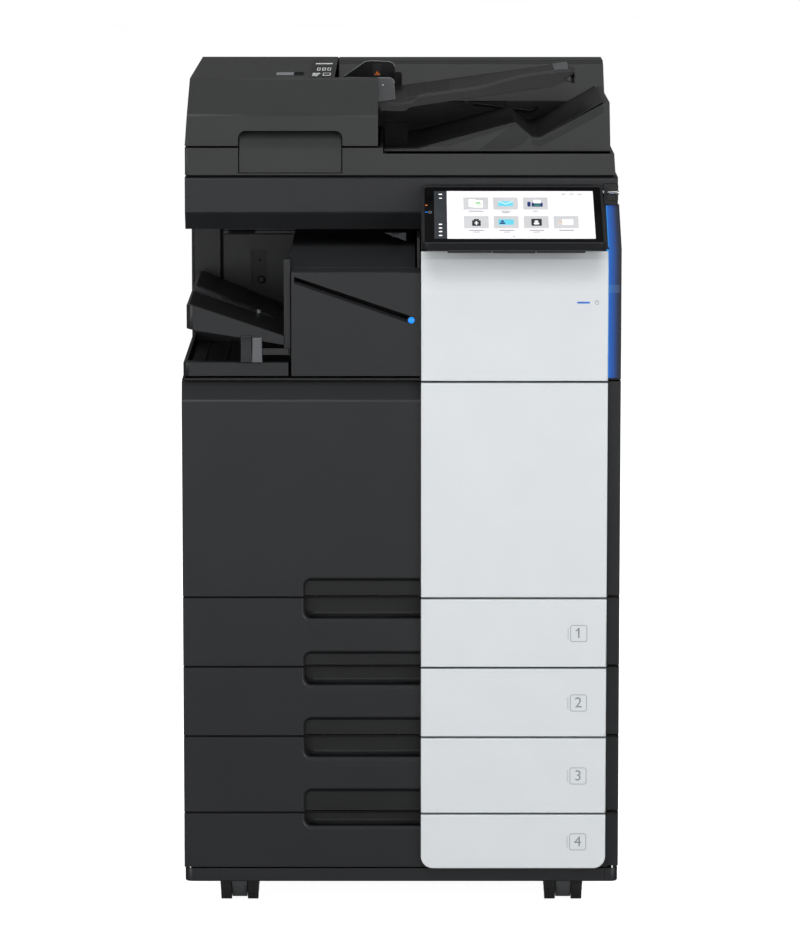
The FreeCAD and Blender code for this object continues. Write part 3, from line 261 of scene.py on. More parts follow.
cameraPlan = {"place": (0, -7.321, 1.668), "tilt": 81.6, "lens": 191.9, "shiftX": -0.0014}
camera = bpy.data.objects.new("camera", bpy.data.cameras.new("camera"))
camera.location = cameraPlan["place"]
camera.rotation_euler = (math.radians(cameraPlan["tilt"]), 0, 0)
camera.data.lens = cameraPlan["lens"]
camera.data.shift_x = cameraPlan["shiftX"]
scene.collection.objects.link(camera)
scene.camera = camera
scene.view_settings.view_transform = "Standard"
print("stage: studio")


# CAD nodes that are shown as they are get their materials and softened edges.

nodeFinish = {
    "base_plate": galvanised, "frame_plates": galvanised, "left_covers": charcoalAbs,
    "right_covers": charcoalAbs, "rear_cover": charcoalAbs, "skirt": charcoalAbs,
    "front_door": charcoalAbs, "front_door_panel": whiteAbs, "toner_door": whiteAbs,
    "upper_front_cover": charcoalAbs, "stylus": satinPlate, "toner_yellow": yellowPp,
    "toner_magenta": magentaPp, "toner_cyan": cyanPp, "toner_black": blackPp,
    "output_bay": blackAbs, "finisher_case": charcoalAbs, "finisher_door": charcoalAbs,
    "upper_output_tray": charcoalAbs, "lower_output_tray": charcoalAbs,
    "scanner_housing": charcoalAbs, "platen_glass": floatGlass, "scan_carriage": blackAbs,
    "feeder_hinges": darkSteel, "feeder_base": slateAndHighlightAbs, "platen_pad": foamPad,
    "feeder_cover": slateAndHighlightAbs, "feeder_housing": slateAndHighlightAbs, "pickup_roller": feedRubber,
    "feed_tray": blackAbs, "guide_front": blackAbs, "guide_rear": blackAbs,
    "control_panel": charcoalAbs, "touch_screen": coverGlass, "panel_mount": charcoalAbs,
    "laser_unit": blackAbs, "imaging_units": blackAbs, "transfer_unit": transferFilm,
    "fuser_unit": galvanised, "waste_toner_box": blackAbs, "electronics": galvanised,
    "power_inlet": blackAbs, "side_door": charcoalAbs, "bypass_tray": charcoalAbs,
}
for i in "1234":
    nodeFinish["tray_" + i] = charcoalAbs
    nodeFinish["tray_panel_" + i] = whiteAbs
for corner in ("front_left", "front_right", "rear_left", "rear_right"):
    nodeFinish["caster_" + corner] = greyNylon
    nodeFinish["wheels_" + corner] = hardRubber


def softenEdges(piece, width, angle=30, segments=2):
    weld = piece.modifiers.new("weld", "WELD")
    weld.merge_threshold = 0.00002
    bevel = piece.modifiers.new("edges", "BEVEL")
    bevel.width = width / 1000
    bevel.segments = segments
    bevel.limit_method = "ANGLE"
    bevel.angle_limit = math.radians(angle)
    bevel.use_clamp_overlap = True
    bevel.harden_normals = True


sharpNodes = ("frame_plates", "base_plate", "platen_glass", "stylus", "platen_pad", "electronics",
              "imaging_units", "left_covers", "right_covers", "rear_cover")
for name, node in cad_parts.items():
    node.data.materials.clear()
    node.data.materials.append(nodeFinish[name])
    if name not in sharpNodes:
        softenEdges(node, 0.7)
print("stage: CAD nodes")


# Piece builders. Outlines are in millimetres: (y, z) for axis x, (x, z) for y, (x, y) for z.

def spot(axis, u, v, along):
    return {"x": (along, u, v), "y": (u, along, v), "z": (u, v, along)}[axis]


def prism(bm, outline, axis, low, high):
    ends = [[bm.verts.new(Vector(spot(axis, u, v, along)) / 1000) for u, v in outline]
            for along in (low, high)]
    bm.faces.new(ends[0])
    bm.faces.new(list(reversed(ends[1])))
    for i in range(len(outline)):
        j = (i + 1) % len(outline)
        bm.faces.new((ends[0][i], ends[1][i], ends[1][j], ends[0][j]))


def rounded(u0, u1, v0, v1, radius, which=(1, 1, 1, 1), steps=6):
    # corners in the order low-low, high-low, high-high, low-high
    out = []
    spots = ((u0, v0, 1, 1, 180), (u1, v0, -1, 1, 270), (u1, v1, -1, -1, 0), (u0, v1, 1, -1, 90))
    for (u, v, su, sv, start), share in zip(spots, which):
        r = radius * share
        if not r:
            out.append((u, v))
            continue
        for k in range(steps + 1):
            a = math.radians(start + 90 * k / steps)
            out.append((u + su * r + r * math.cos(a), v + sv * r + r * math.sin(a)))
    return out


def circle(u, v, radius, steps=24):
    return [(u + radius * math.cos(math.tau * k / steps), v + radius * math.sin(math.tau * k / steps))
            for k in range(steps)]


def turned(bm, profile, axis, u, v, steps=28):
    # profile: (radius, place along the axis), from one end to the other
    rings = [[bm.verts.new(Vector(spot(axis, a, b, along)) / 1000)
              for a, b in circle(u, v, max(radius, 0.01), steps)] for radius, along in profile]
    for low, high in zip(rings, rings[1:]):
        for i in range(steps):
            j = (i + 1) % steps
            bm.faces.new((low[i], low[j], high[j], high[i]))
    bm.faces.new(list(reversed(rings[0])))
    bm.faces.new(rings[-1])


def strip(bm, rows):
    # a closed skin through rows of points, each row the same length
    made = [[bm.verts.new(Vector(p) / 1000) for p in row] for row in rows]
    for low, high in zip(made, made[1:]):
        for i in range(len(low)):
            j = (i + 1) % len(low)
            bm.faces.new((low[i], low[j], high[j], high[i]))
    bm.faces.new(list(reversed(made[0])))
    bm.faces.new(made[-1])


def wire(bm, points, radius, steps=10):
    # a round bar along straight runs with mitred bends
    points = [Vector(p) for p in points]
    rings = []
    for i, p in enumerate(points):
        back = (p - points[i - 1]).normalized() if i else None
        on = (points[i + 1] - p).normalized() if i + 1 < len(points) else None
        way = ((back or on) + (on or back)).normalized()
        side = way.orthogonal().normalized() if not rings else (keep - way * keep.dot(way)).normalized()
        keep = side
        other = way.cross(side)
        rings.append([p + (side * math.cos(a) + other * math.sin(a)) * radius
                      for a in (math.tau * k / steps for k in range(steps))])
    strip(bm, rings)


def piece(name, bm, body, slot, material, edge=0.4, replaces=(), smooth=35):
    bmesh.ops.recalc_face_normals(bm, faces=bm.faces)
    mesh = bpy.data.meshes.new(name)
    bm.to_mesh(mesh)
    bm.free()
    made = bpy.data.objects.new(name, mesh)
    scene.collection.objects.link(made)
    mesh.materials.append(material)
    mesh.shade_smooth()
    mesh.set_sharp_from_angle(angle=math.radians(smooth))
    if edge:
        softenEdges(made, edge)
    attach(made, body)
    if replaces:
        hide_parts(*replaces)
    return made


def boxOf(node):
    low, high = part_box(node)
    return low * 1000, high * 1000


def brick(bm, x, y, z):
    prism(bm, [(x[0], y[0]), (x[1], y[0]), (x[1], y[1]), (x[0], y[1])], "z", *z)


# Handle recesses: a sloping rim, an inner wall, and the slot that the fingers go down into.

handle = {"left": -139.8, "right": 27.6, "round": 14, "rim": 4.2, "rimDeep": 5,
          "drop": (33, 28.9, 32.8, 22.4), "rise": (26.8, 21.8, 26.8, 33.8),
          "wallBack": 17, "slotHigh": 10.5, "slotLeft": 16}


def sweptRim(bm, path, rim, deep, front):
    # path: (x, z, inward x, inward z) along the recess edge
    rows = []
    for x, z, nx, nz in path:
        rows.append([(x - nx * 0.05, front + 0.02, z - nz * 0.05),
                     (x + nx * rim * 0.35, front + deep * 0.12, z + nz * rim * 0.35),
                     (x + nx * rim * 0.75, front + deep * 0.45, z + nz * rim * 0.75),
                     (x + nx * rim, front + deep, z + nz * rim),
                     (x - nx * 0.05, front + deep, z - nz * 0.05)])
    strip(bm, rows)


def rimPath(left, right, straight, turn, up):
    # from the seam down (or up) round the corner at z = turn, and along to the white panel
    r = handle["round"]
    sign = 1 if up else -1
    path = [(left, straight, 1, 0)]
    for k in range(9):
        a = math.radians(90 * k / 8)
        path.append((left + r - r * math.cos(a), turn - sign * r + sign * r * math.sin(a),
                     math.cos(a), -sign * math.sin(a)))
    path.append((right, turn, 0, -sign))
    return path


def makeHandles():
    h = handle
    for i in range(4):
        low, high = boxOf(f"tray_{i + 1}")
        front, top = low.y, high.z
        drop = top - h["drop"][i]
        body = f"tray_{i + 1}"
        bm = bmesh.new()
        sweptRim(bm, rimPath(h["left"], h["right"], top, drop, False), h["rim"], h["rimDeep"], front)
        piece(f"handle_rim_{i + 1}", bm, body, "dark_shell", charcoalAbs, edge=0)
        # the inner wall is in the recess ABS: its darkness is painted shade
        bm = bmesh.new()
        inner = front + h["wallBack"]
        prism(bm, rounded(h["left"] + 2, h["right"] - 1, drop + h["slotHigh"], top - 0.4, 12,
                          (1, 0, 0, 0)), "y", inner, inner + 2.5)
        piece(f"handle_wall_{i + 1}", bm, body, "dark_shell", recessShadeAbs)
        bm = bmesh.new()
        brick(bm, (h["left"] + h["slotLeft"], h["right"] - 1), (inner - 1.6, inner + 0.4),
              (drop + h["slotHigh"] - 1.1, drop + h["slotHigh"] + 0.7))
        piece(f"handle_lip_{i + 1}", bm, body, "dark_shell", slateAndHighlightAbs)
        above = f"tray_{i}" if i else "front_door"
        aboveLow = boxOf(above)[0]
        bm = bmesh.new()
        sweptRim(bm, rimPath(h["left"], h["right"], aboveLow.z, aboveLow.z + h["rise"][i], True),
                 h["rim"], h["rimDeep"], aboveLow.y)
        piece(f"handle_brow_{i + 1}", bm, above, "dark_shell", charcoalAbs, edge=0)
        # the brow's liner, also in the recess ABS: painted shade inside the upper recess
        bm = bmesh.new()
        prism(bm, rounded(h["left"] + h["rim"] - 0.5, h["right"] - 1, aboveLow.z + 0.3,
                          aboveLow.z + h["rise"][i] - h["rim"] + 0.5, 10, (0, 0, 0, 1)), "y",
              aboveLow.y + 6.8, aboveLow.y + 8.1)
        piece(f"handle_liner_{i + 1}", bm, above, "dark_shell", recessShadeAbs, edge=0)
        crest = aboveLow.z + h["rise"][i] - h["rim"]
        # a black strip under the brow's crest: painted shade along the top of the recess
        bm = bmesh.new()
        brick(bm, (h["left"] + 9, h["right"] - 1), (aboveLow.y + 5.4, aboveLow.y + 7),
              (crest - 1.6, crest + 0.3))
        piece(f"handle_painted_shade_line_{i + 1}", bm, above, "inner_black", blackFoamAndShade, edge=0)
        # a lighter bead along the lower edge of the rim: painted highlight on the lip
        bm = bmesh.new()
        wire(bm, [(x - nx * 0.4, front + 0.35, z - nz * 0.4) for x, z, nx, nz in
                  rimPath(h["left"], h["right"], top, drop, False)[3:]], 0.55)
        piece(f"handle_painted_lip_highlight_{i + 1}", bm, body, "dark_shell", slateAndHighlightAbs, edge=0)


def makeFrontGaps():
    # dark foam behind each parting line between the fronts
    bm = bmesh.new()
    parts = ["front_door", "tray_1", "tray_2", "tray_3", "tray_4"]
    for upper, lower in zip(parts, parts[1:]):
        low, high = boxOf(lower)
        brick(bm, (low.x + 1, high.x - 1), (low.y + 3, low.y + 5),
              (high.z + 0.25, boxOf(upper)[0].z - 0.25))
    piece("front_gap_seals", bm, "root", "inner_black", blackFoamAndShade, edge=0)


makeHandles()
makeFrontGaps()


# Tray number plates on the white panels: a raised rounded square, its ink numeral, a level bar.

numberPlate = {"x": 249.5, "wide": 23.5, "high": 24, "round": 3.2, "line": 0.7, "raise": 0.35,
               "flag": ((0.2, 7.2), (-4.2, 4.6), (-4.2, 2.9), (0.2, 5.2)), "digit": 21,
               "barX": 234.6, "barWide": 1.6, "barHigh": 17}


def inkDigit(name, text, size, place, body):
    curve = bpy.data.curves.new(name, "FONT")
    curve.body = text
    curve.size = size / 1000
    curve.extrude = 0.0002
    curve.align_x, curve.align_y = "CENTER", "CENTER"
    raw = bpy.data.objects.new(name + "_raw", curve)
    mesh = bpy.data.meshes.new_from_object(raw)
    bpy.data.objects.remove(raw)
    mesh.transform(Matrix.Translation(Vector(place) / 1000) @ Matrix.Rotation(math.pi / 2, 4, "X"))
    mesh.materials.clear()
    mesh.materials.append(greyInk)
    made = bpy.data.objects.new(name, mesh)
    scene.collection.objects.link(made)
    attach(made, body)


def frameOutline(bm, outer, inner, axis, low, high):
    # a flat ring between two outlines with the same number of points
    rows = [[spot(axis, u, v, along) for u, v in line]
            for line, along in ((outer, low), (outer, high), (inner, high), (inner, low))]
    made = [[bm.verts.new(Vector(p) / 1000) for p in row] for row in rows]
    for here, beyond in zip(made, made[1:] + made[:1]):
        for i in range(len(here)):
            j = (i + 1) % len(here)
            bm.faces.new((here[i], here[j], beyond[j], beyond[i]))


def makeNumberPlates():
    n = numberPlate
    for i in range(4):
        low, high = boxOf(f"tray_panel_{i + 1}")
        face, middle = low.y, (low.z + high.z) / 2
        x0, x1 = n["x"] - n["wide"] / 2, n["x"] + n["wide"] / 2
        z0, z1 = middle - n["high"] / 2, middle + n["high"] / 2
        body = f"tray_{i + 1}"
        bm = bmesh.new()
        frameOutline(bm, rounded(x0, x1, z0, z1, n["round"]),
                     rounded(x0 + n["line"], x1 - n["line"], z0 + n["line"], z1 - n["line"],
                             n["round"] - n["line"]), "y", face - n["raise"], face + 0.3)
        piece(f"number_frame_{i + 1}", bm, body, "white_shell", greyInk, edge=0)
        inkDigit(f"tray_number_{i + 1}", str(i + 1), n["digit"], (n["x"], face - 0.1, middle), body)
        if i == 0:
            bm = bmesh.new()
            prism(bm, [(n["x"] + u, middle + v) for u, v in n["flag"]], "y", face - 0.3, face + 0.1)
            piece("tray_number_1_flag", bm, body, "white_shell", greyInk, edge=0)
        bm = bmesh.new()
        prism(bm, rounded(n["barX"] - n["barWide"] / 2, n["barX"] + n["barWide"] / 2,
                          middle - n["barHigh"] / 2, middle + n["barHigh"] / 2, 0.7, steps=3),
              "y", face - n["raise"], face + 0.3)
        piece(f"level_bar_{i + 1}", bm, body, "white_shell", paleLens, edge=0)


makeNumberPlates()
print("stage: handles and tray numbers")


# Touch panel: the display's picture, drawn as thin films of ink on the cover glass.

display = {"left": -110.2, "right": 113.0, "low": 8.8, "high": 147.8, "sideRight": -92.3,
           "film": 0.06, "slope": 0.4245, "glass": 1.2, "tileWide": 34.6, "tileHigh": 35.7,
           "columns": (-69.1, -27.4, 14.4, 56.0), "rows": (93.2, 38.5)}
screenWhite = litPanel("display_white", "#e9e7ea", "#eeecef", 0.42)
screenTile = litPanel("display_tile_grey", "#bfc0c2", "#c6c7c9", 0.42)
screenSide = litPanel("display_side_grey", "#2d3033", "#33363a", 0.35)
screenInk = litPanel("display_ink_grey", "#5f6369", "#6a6e74", 0.2)
screenDark = litPanel("display_ink_black", "#2a2c2f", "#313438", 0.3)
screenTeal = litPanel("display_teal", "#5cc0d6", "#70cbdf", 0.5)
screenNavy = litPanel("display_navy", "#1b2c63", "#22367a", 0.4)
screenGreen = litPanel("display_green", "#3fa93f", "#57b84f", 0.5)
screenPaper = litPanel("display_paper_white", "#f4f4f4", "#fafafa", 0.55)
screenOrange = litPanel("display_orange", "#e08a2e", "#ea9c45", 0.5)
orangeLamp = litPanel("orange_light_guide", "#e0742a", "#ee8a3c", 0.9, 4)


def panelPlace():
    # the glass plane: origin at the middle of its front edge, v up the slope, w out of it
    low, high = boxOf("touch_screen")
    slope = math.atan(display["slope"])
    return Matrix.Translation(Vector(((low.x + high.x) / 2, low.y,
                                      low.z + display["glass"] * math.cos(slope)))) \
        @ Matrix.Rotation(slope, 4, "X")


def onGlass(name, outlines, material, layer, body="touch_panel", slot="screen_glass", thick=None):
    # outlines in (u, v) on the glass; layer counts films from the glass up
    bm = bmesh.new()
    film = display["film"]
    low = 0.1 + layer * film
    for outline in outlines:
        prism(bm, outline, "z", low, low + (thick or film))
    place = panelPlace()
    for vert in bm.verts:
        vert.co = (place @ (vert.co * 1000)) / 1000
    return piece(name, bm, body, slot, material, edge=0)


def block(u0, u1, v0, v1, radius=0.0):
    if radius:
        return rounded(u0, u1, v0, v1, radius, steps=4)
    return [(u0, v0), (u1, v0), (u1, v1), (u0, v1)]


def makeDisplay():
    d = display
    onGlass("display_field", [block(d["sideRight"], d["right"], d["low"], d["high"])], screenWhite, 0)
    onGlass("display_sidebar", [block(d["left"], d["sideRight"], d["low"], d["high"])], screenSide, 0)
    tiles = []
    for row, v in enumerate(d["rows"]):
        for u in d["columns"][:3 + row]:
            tiles.append(block(u, u + d["tileWide"], v, v + d["tileHigh"], 0.6))
    onGlass("display_tiles", tiles, screenTile, 1)
    bars = [block(-62, -41, 87.6, 89.4), block(-17, -3, 87.8, 89.4), block(-15, -5, 83.4, 85),
            block(27.5, 35, 87.8, 89.4)]
    for u in d["columns"]:
        bars.append(block(u + 7, u + 28, 32, 33.8))
    bars += [block(-57, -47, 27, 28.6), block(-14, -5, 27, 28.6), block(26, 37, 27, 28.6)]
    bars += [block(-66, -52, 139.4, 141)]
    bars += [block(4.5 + 7.1 * k, 6.3 + 7.1 * k, 15, 16.4, 0.6) for k in range(1, 3)]
    onGlass("display_captions", bars, screenInk, 1)
    onGlass("display_page_mark", [block(-1.4, 1.2, 14.8, 16.8, 0.8)], screenNavy, 1)
    ring = [circle(83.1, 138.4, 2.6, 20), block(69.4, 74.6, 137.2, 140.4, 1.2),
            block(92.2, 96.4, 136.4, 140, 0.8)]
    onGlass("display_top_icons", ring, screenInk, 1)
    holes = [circle(83.1, 138.4, 1.8, 20), block(70.2, 73.8, 138, 139.6, 0.6),
             block(92.9, 95.2, 137.1, 139.3, 0.5)]
    onGlass("display_top_icon_holes", holes, screenWhite, 2)
    onGlass("display_search", [block(-87.5, -40, 134.6, 143.6, 1)], screenPaper, 1)


def makeTilePictures():
    d = display
    u1, u2, u3, u4 = d["columns"]
    top, bottom = d["rows"]
    # copied sheets
    onGlass("picture_sheets", [block(u1 + 7.5, u1 + 17, top + 9, top + 29.5),
                               block(u1 + 13, u1 + 27, top + 6.5, top + 26.5)], screenPaper, 2)
    onGlass("picture_hills", [[(u1 + 15, top + 17), (u1 + 19, top + 22.5), (u1 + 21, top + 20),
                               (u1 + 23, top + 22), (u1 + 25, top + 17)],
                              block(u1 + 15, u1 + 25, top + 11, top + 12.4)], screenGreen, 3)
    # envelope
    onGlass("picture_envelope", [block(u2 + 7, u2 + 27.6, top + 10, top + 24.5)], screenTeal, 2)
    onGlass("picture_flap", [[(u2 + 7.4, top + 24.6), (u2 + 17.3, top + 17.2), (u2 + 27.2, top + 24.6),
                              (u2 + 27.2, top + 23.4), (u2 + 17.3, top + 15.8),
                              (u2 + 7.4, top + 23.4)]], screenPaper, 3)
    # telephone with a sheet
    onGlass("picture_phone", [block(u3 + 12, u3 + 27.5, top + 8.5, top + 20, 1),
                              rounded(u3 + 6, u3 + 10.5, top + 8.5, top + 23, 2.2)], screenNavy, 2)
    onGlass("picture_phone_sheet", [block(u3 + 15, u3 + 24.5, top + 18.5, top + 28)], screenPaper, 3)
    onGlass("picture_phone_lamp", [block(u3 + 15, u3 + 24, top + 12, top + 14)], screenGreen, 3)
    # stick printing
    onGlass("picture_box", [block(u1 + 11.5, u1 + 23.5, bottom + 7, bottom + 23, 1),
                            block(u1 + 14, u1 + 21, bottom + 23, bottom + 27)], screenDark, 2)
    onGlass("picture_box_mark", [block(u1 + 16.7, u1 + 18.3, bottom + 10, bottom + 20.5),
                                 block(u1 + 14.6, u1 + 20.4, bottom + 14.5, bottom + 16.2)],
            screenPaper, 3)
    # name card
    onGlass("picture_card", [block(u2 + 6.5, u2 + 28, bottom + 10.5, bottom + 26)], screenTeal, 2)
    onGlass("picture_card_head", [circle(u2 + 12, bottom + 20.5, 2.4, 16),
                                  block(u2 + 8, u2 + 16, bottom + 12.5, bottom + 17, 1.6)],
            screenNavy, 3)
    # address book
    onGlass("picture_book", [block(u3 + 10.5, u3 + 25, bottom + 7.5, bottom + 27.5, 0.8)],
            screenDark, 2)
    onGlass("picture_book_head", [circle(u3 + 17.6, bottom + 20, 2.6, 16),
                                  block(u3 + 13.8, u3 + 21.4, bottom + 11.5, bottom + 16.4, 1.6)],
            screenPaper, 3)
    # drawn page
    onGlass("picture_page", [block(u4 + 12, u4 + 27, bottom + 11, bottom + 26)], screenPaper, 2)
    stroke = [(u4 + 7 + 2.2 * k, bottom + 17 + 2.2 * math.sin(k * 1.1)) for k in range(8)]
    line = [(u, v + 0.8) for u, v in stroke] + [(u, v - 0.8) for u, v in reversed(stroke)]
    onGlass("picture_stroke", [line], screenOrange, 3)
    # sidebar and bezel marks
    side = [block(-103.6, -98.6, 136.6, 139.8, 0.8), block(-103, -99, 125.4, 128, 0.6)]
    side += [block(-104, -99.2, v - 1.5, v + 1.5, 1) for v in (50.4, 39.6, 29.3, 17.9)]
    onGlass("sidebar_icons", side, screenPaper, 1)
    onGlass("card_reader_mark", [block(-118, -113.6, 82.2, 89, 1)], screenInk, 1)
    onGlass("card_reader_hole", [block(-117, -114.6, 83.8, 87.4, 0.5)], coverGlass, 2)
    onGlass("warning_lamp", [block(-122.6, -119.6, 105.1, 106.9, 0.8)], orangeLamp, 1)
    onGlass("ready_lamp", [block(-122.8, -119.2, 84.9, 86.7, 0.8)], blueLight, 1)


makeDisplay()
makeTilePictures()
print("stage: display")
# Output bay: two wall panels with a lit upper ledge, the recessed sensor plate and its knob.

bayWall = {"gapLeft": -264.8, "gapRight": -260.4, "ledge": (932.4, 938.3), "ledgeDeep": 7,
           "ledgeRight": -152, "slotX": (-253, -214), "plateX": (-220.8, -195.5),
           "plateZ": (856, 910), "plateRound": 6, "hole": (-207.5, 894.5), "knob": (-205.2, 865.5)}


def makeBay():
    b = bayWall
    low, high = boxOf("output_bay")
    wall = high.y - 4
    bm = bmesh.new()
    brick(bm, (low.x + 0.6, b["gapLeft"]), (wall - 3, wall + 0.5), (low.z + 5, high.z - 1))
    x0, x1 = b["plateX"]
    outer = rounded(x0, x1, *b["plateZ"], b["plateRound"], (1, 1, 0.15, 0.15))
    inner = rounded(x0 + 1.2, x1 - 1.2, b["plateZ"][0] + 1.2, b["plateZ"][1] - 0.6,
                    b["plateRound"] - 1.2, (1, 1, 0.15, 0.15))
    frameOutline(bm, rounded(b["gapRight"], high.x - 5, low.z + 5, b["ledge"][0], 0.8), outer, "y",
                 wall - 3, wall + 0.5)
    piece("bay_wall_panels", bm, "root", "inner_black", shadeAbs, edge=0.8)
    bm = bmesh.new()
    brick(bm, (b["gapLeft"] - 0.5, b["gapRight"] + 0.5), (wall - 0.6, wall + 0.4),
          (low.z + 5, high.z - 1))
    piece("bay_wall_gap", bm, "root", "inner_black", blackFoamAndShade, edge=0)
    bm = bmesh.new()
    z0, z1 = b["ledge"]
    prism(bm, [(wall + 0.5, z0 - 0.2), (wall - b["ledgeDeep"], z0 + 1.2), (wall - b["ledgeDeep"], z1),
               (wall + 0.5, z1)], "x", b["gapRight"], b["ledgeRight"])
    piece("bay_ledge", bm, "root", "inner_black", slateAndHighlightAbs, edge=0.5)
    bm = bmesh.new()
    brick(bm, b["slotX"], (wall - b["ledgeDeep"] - 0.5, wall - 3), (z0 + 1.9, z1 + 0.3))
    piece("bay_ledge_slot", bm, "root", "inner_black", blackFoamAndShade, edge=0)
    bm = bmesh.new()
    frameOutline(bm, outer, inner, "y", wall - 3.3, wall - 0.4)
    piece("sensor_plate_rim", bm, "root", "inner_black", slateAndHighlightAbs, edge=0)
    bm = bmesh.new()
    prism(bm, inner, "y", wall - 0.9, wall + 0.3)
    piece("sensor_plate", bm, "root", "inner_black", recessShadeAbs, edge=0)
    bm = bmesh.new()
    turned(bm, [(2, wall - 0.6), (2, wall - 1.1), (0.2, wall - 1.2)], "y", *b["hole"])
    turned(bm, [(5.8, wall - 0.6), (5.8, wall - 1.4), (5.2, wall - 1.8)], "y", *b["knob"])
    piece("sensor_hole_and_seat", bm, "root", "inner_black", blackFoamAndShade, edge=0)
    bm = bmesh.new()
    turned(bm, [(4, wall - 1.6), (4, wall - 2.7), (3.2, wall - 3.3), (1.6, wall - 3.3),
                (1.2, wall - 2.4)], "y", *b["knob"])
    piece("sensor_knob", bm, "root", "inner_black", charcoalAbs, edge=0)
    bm = bmesh.new()
    right = high.x - 5
    for k in range(3):
        brick(bm, (right - 34 + 4 * k, right - 33 + 4 * k), (-200, 70), (high.z - 6, high.z - 1))
    prism(bm, [(right - 46, high.z - 3), (right - 14, high.z - 3), (right - 14, high.z - 15)],
          "y", -160, -155)
    piece("bay_ceiling_bracket", bm, "root", "caster_grey", darkSteel, edge=0.2)
    bm = bmesh.new()
    for k in range(5):
        x = -120 + 32 * k
        prism(bm, rounded(x, x + 5, low.z + 3.5, low.z + 5.6, 1, (0, 0, 1, 1), steps=3), "y", -250, 70)
    piece("bay_floor_ribs", bm, "root", "inner_black", shadeAbs, edge=0.3)


makeBay()


# Finisher: the stapling slot's lit lower bevel, its dark throat and the blue lens.

finisherSlot = {"top": (-149.6, 909.4), "low": (-149.6, 899.6), "lowEnd": (9.6, 844.4),
                "topEnd": (13.6, 854), "bevel": 3.6, "lens": (14, 848.2), "lensRadius": 4.7}


def makeFinisherFront():
    f = finisherSlot
    face = boxOf("finisher_door")[0].y
    back = boxOf("finisher_case")[0].y + 15
    bm = bmesh.new()
    rows = [[(x, face + 0.15, z - 0.3), (x, face + 5, z + f["bevel"]), (x, face + 9, z + f["bevel"]),
             (x, face + 9, z - 0.3)] for x, z in (f["low"], f["lowEnd"])]
    strip(bm, rows)
    piece("staple_slot_bevel", bm, "finisher_door", "dark_shell", charcoalAbs, edge=0.3)
    bm = bmesh.new()
    shrink = ((0.6, -0.6), (0.6, 0.6), (-0.6, 0.6), (-0.6, -0.6))
    prism(bm, [(x + dx, z + dz) for (x, z), (dx, dz) in
               zip((f["top"], f["low"], f["lowEnd"], f["topEnd"]), shrink)], "y", back + 1.2, back + 2.4)
    piece("staple_slot_throat", bm, "finisher", "inner_black", blackFoamAndShade, edge=0)
    bm = bmesh.new()
    r = f["lensRadius"]
    turned(bm, [(r, face + 5.5), (r, face + 0.6), (r * 0.9, face - 0.7), (r * 0.66, face - 1.6),
                (r * 0.35, face - 2.1), (r * 0.1, face - 2.2)], "y", *f["lens"])
    piece("staple_lens", bm, "finisher_door", "screen_glass", blueLight, edge=0)
    bm = bmesh.new()
    frameOutline(bm, circle(*f["lens"], r + 1.2), circle(*f["lens"], r), "y", face - 0.5, face + 1)
    piece("staple_lens_bezel", bm, "finisher_door", "inner_black", blackAbs, edge=0)


# Output trays: the stepped ridge with its wire stop on the upper one, the grips of the lower one.

outputTray = {"ridgeFront": -118, "ridgeRise": 8.6, "ridgeEnd": -178, "darkGrip": (-224.5, -208.6),
              "lightGrip": (-208.6, -194.2), "gripFront": -287, "gripDeep": 6.2,
              "bar": (-194.2, -157.5), "barZ": (799.5, 809)}


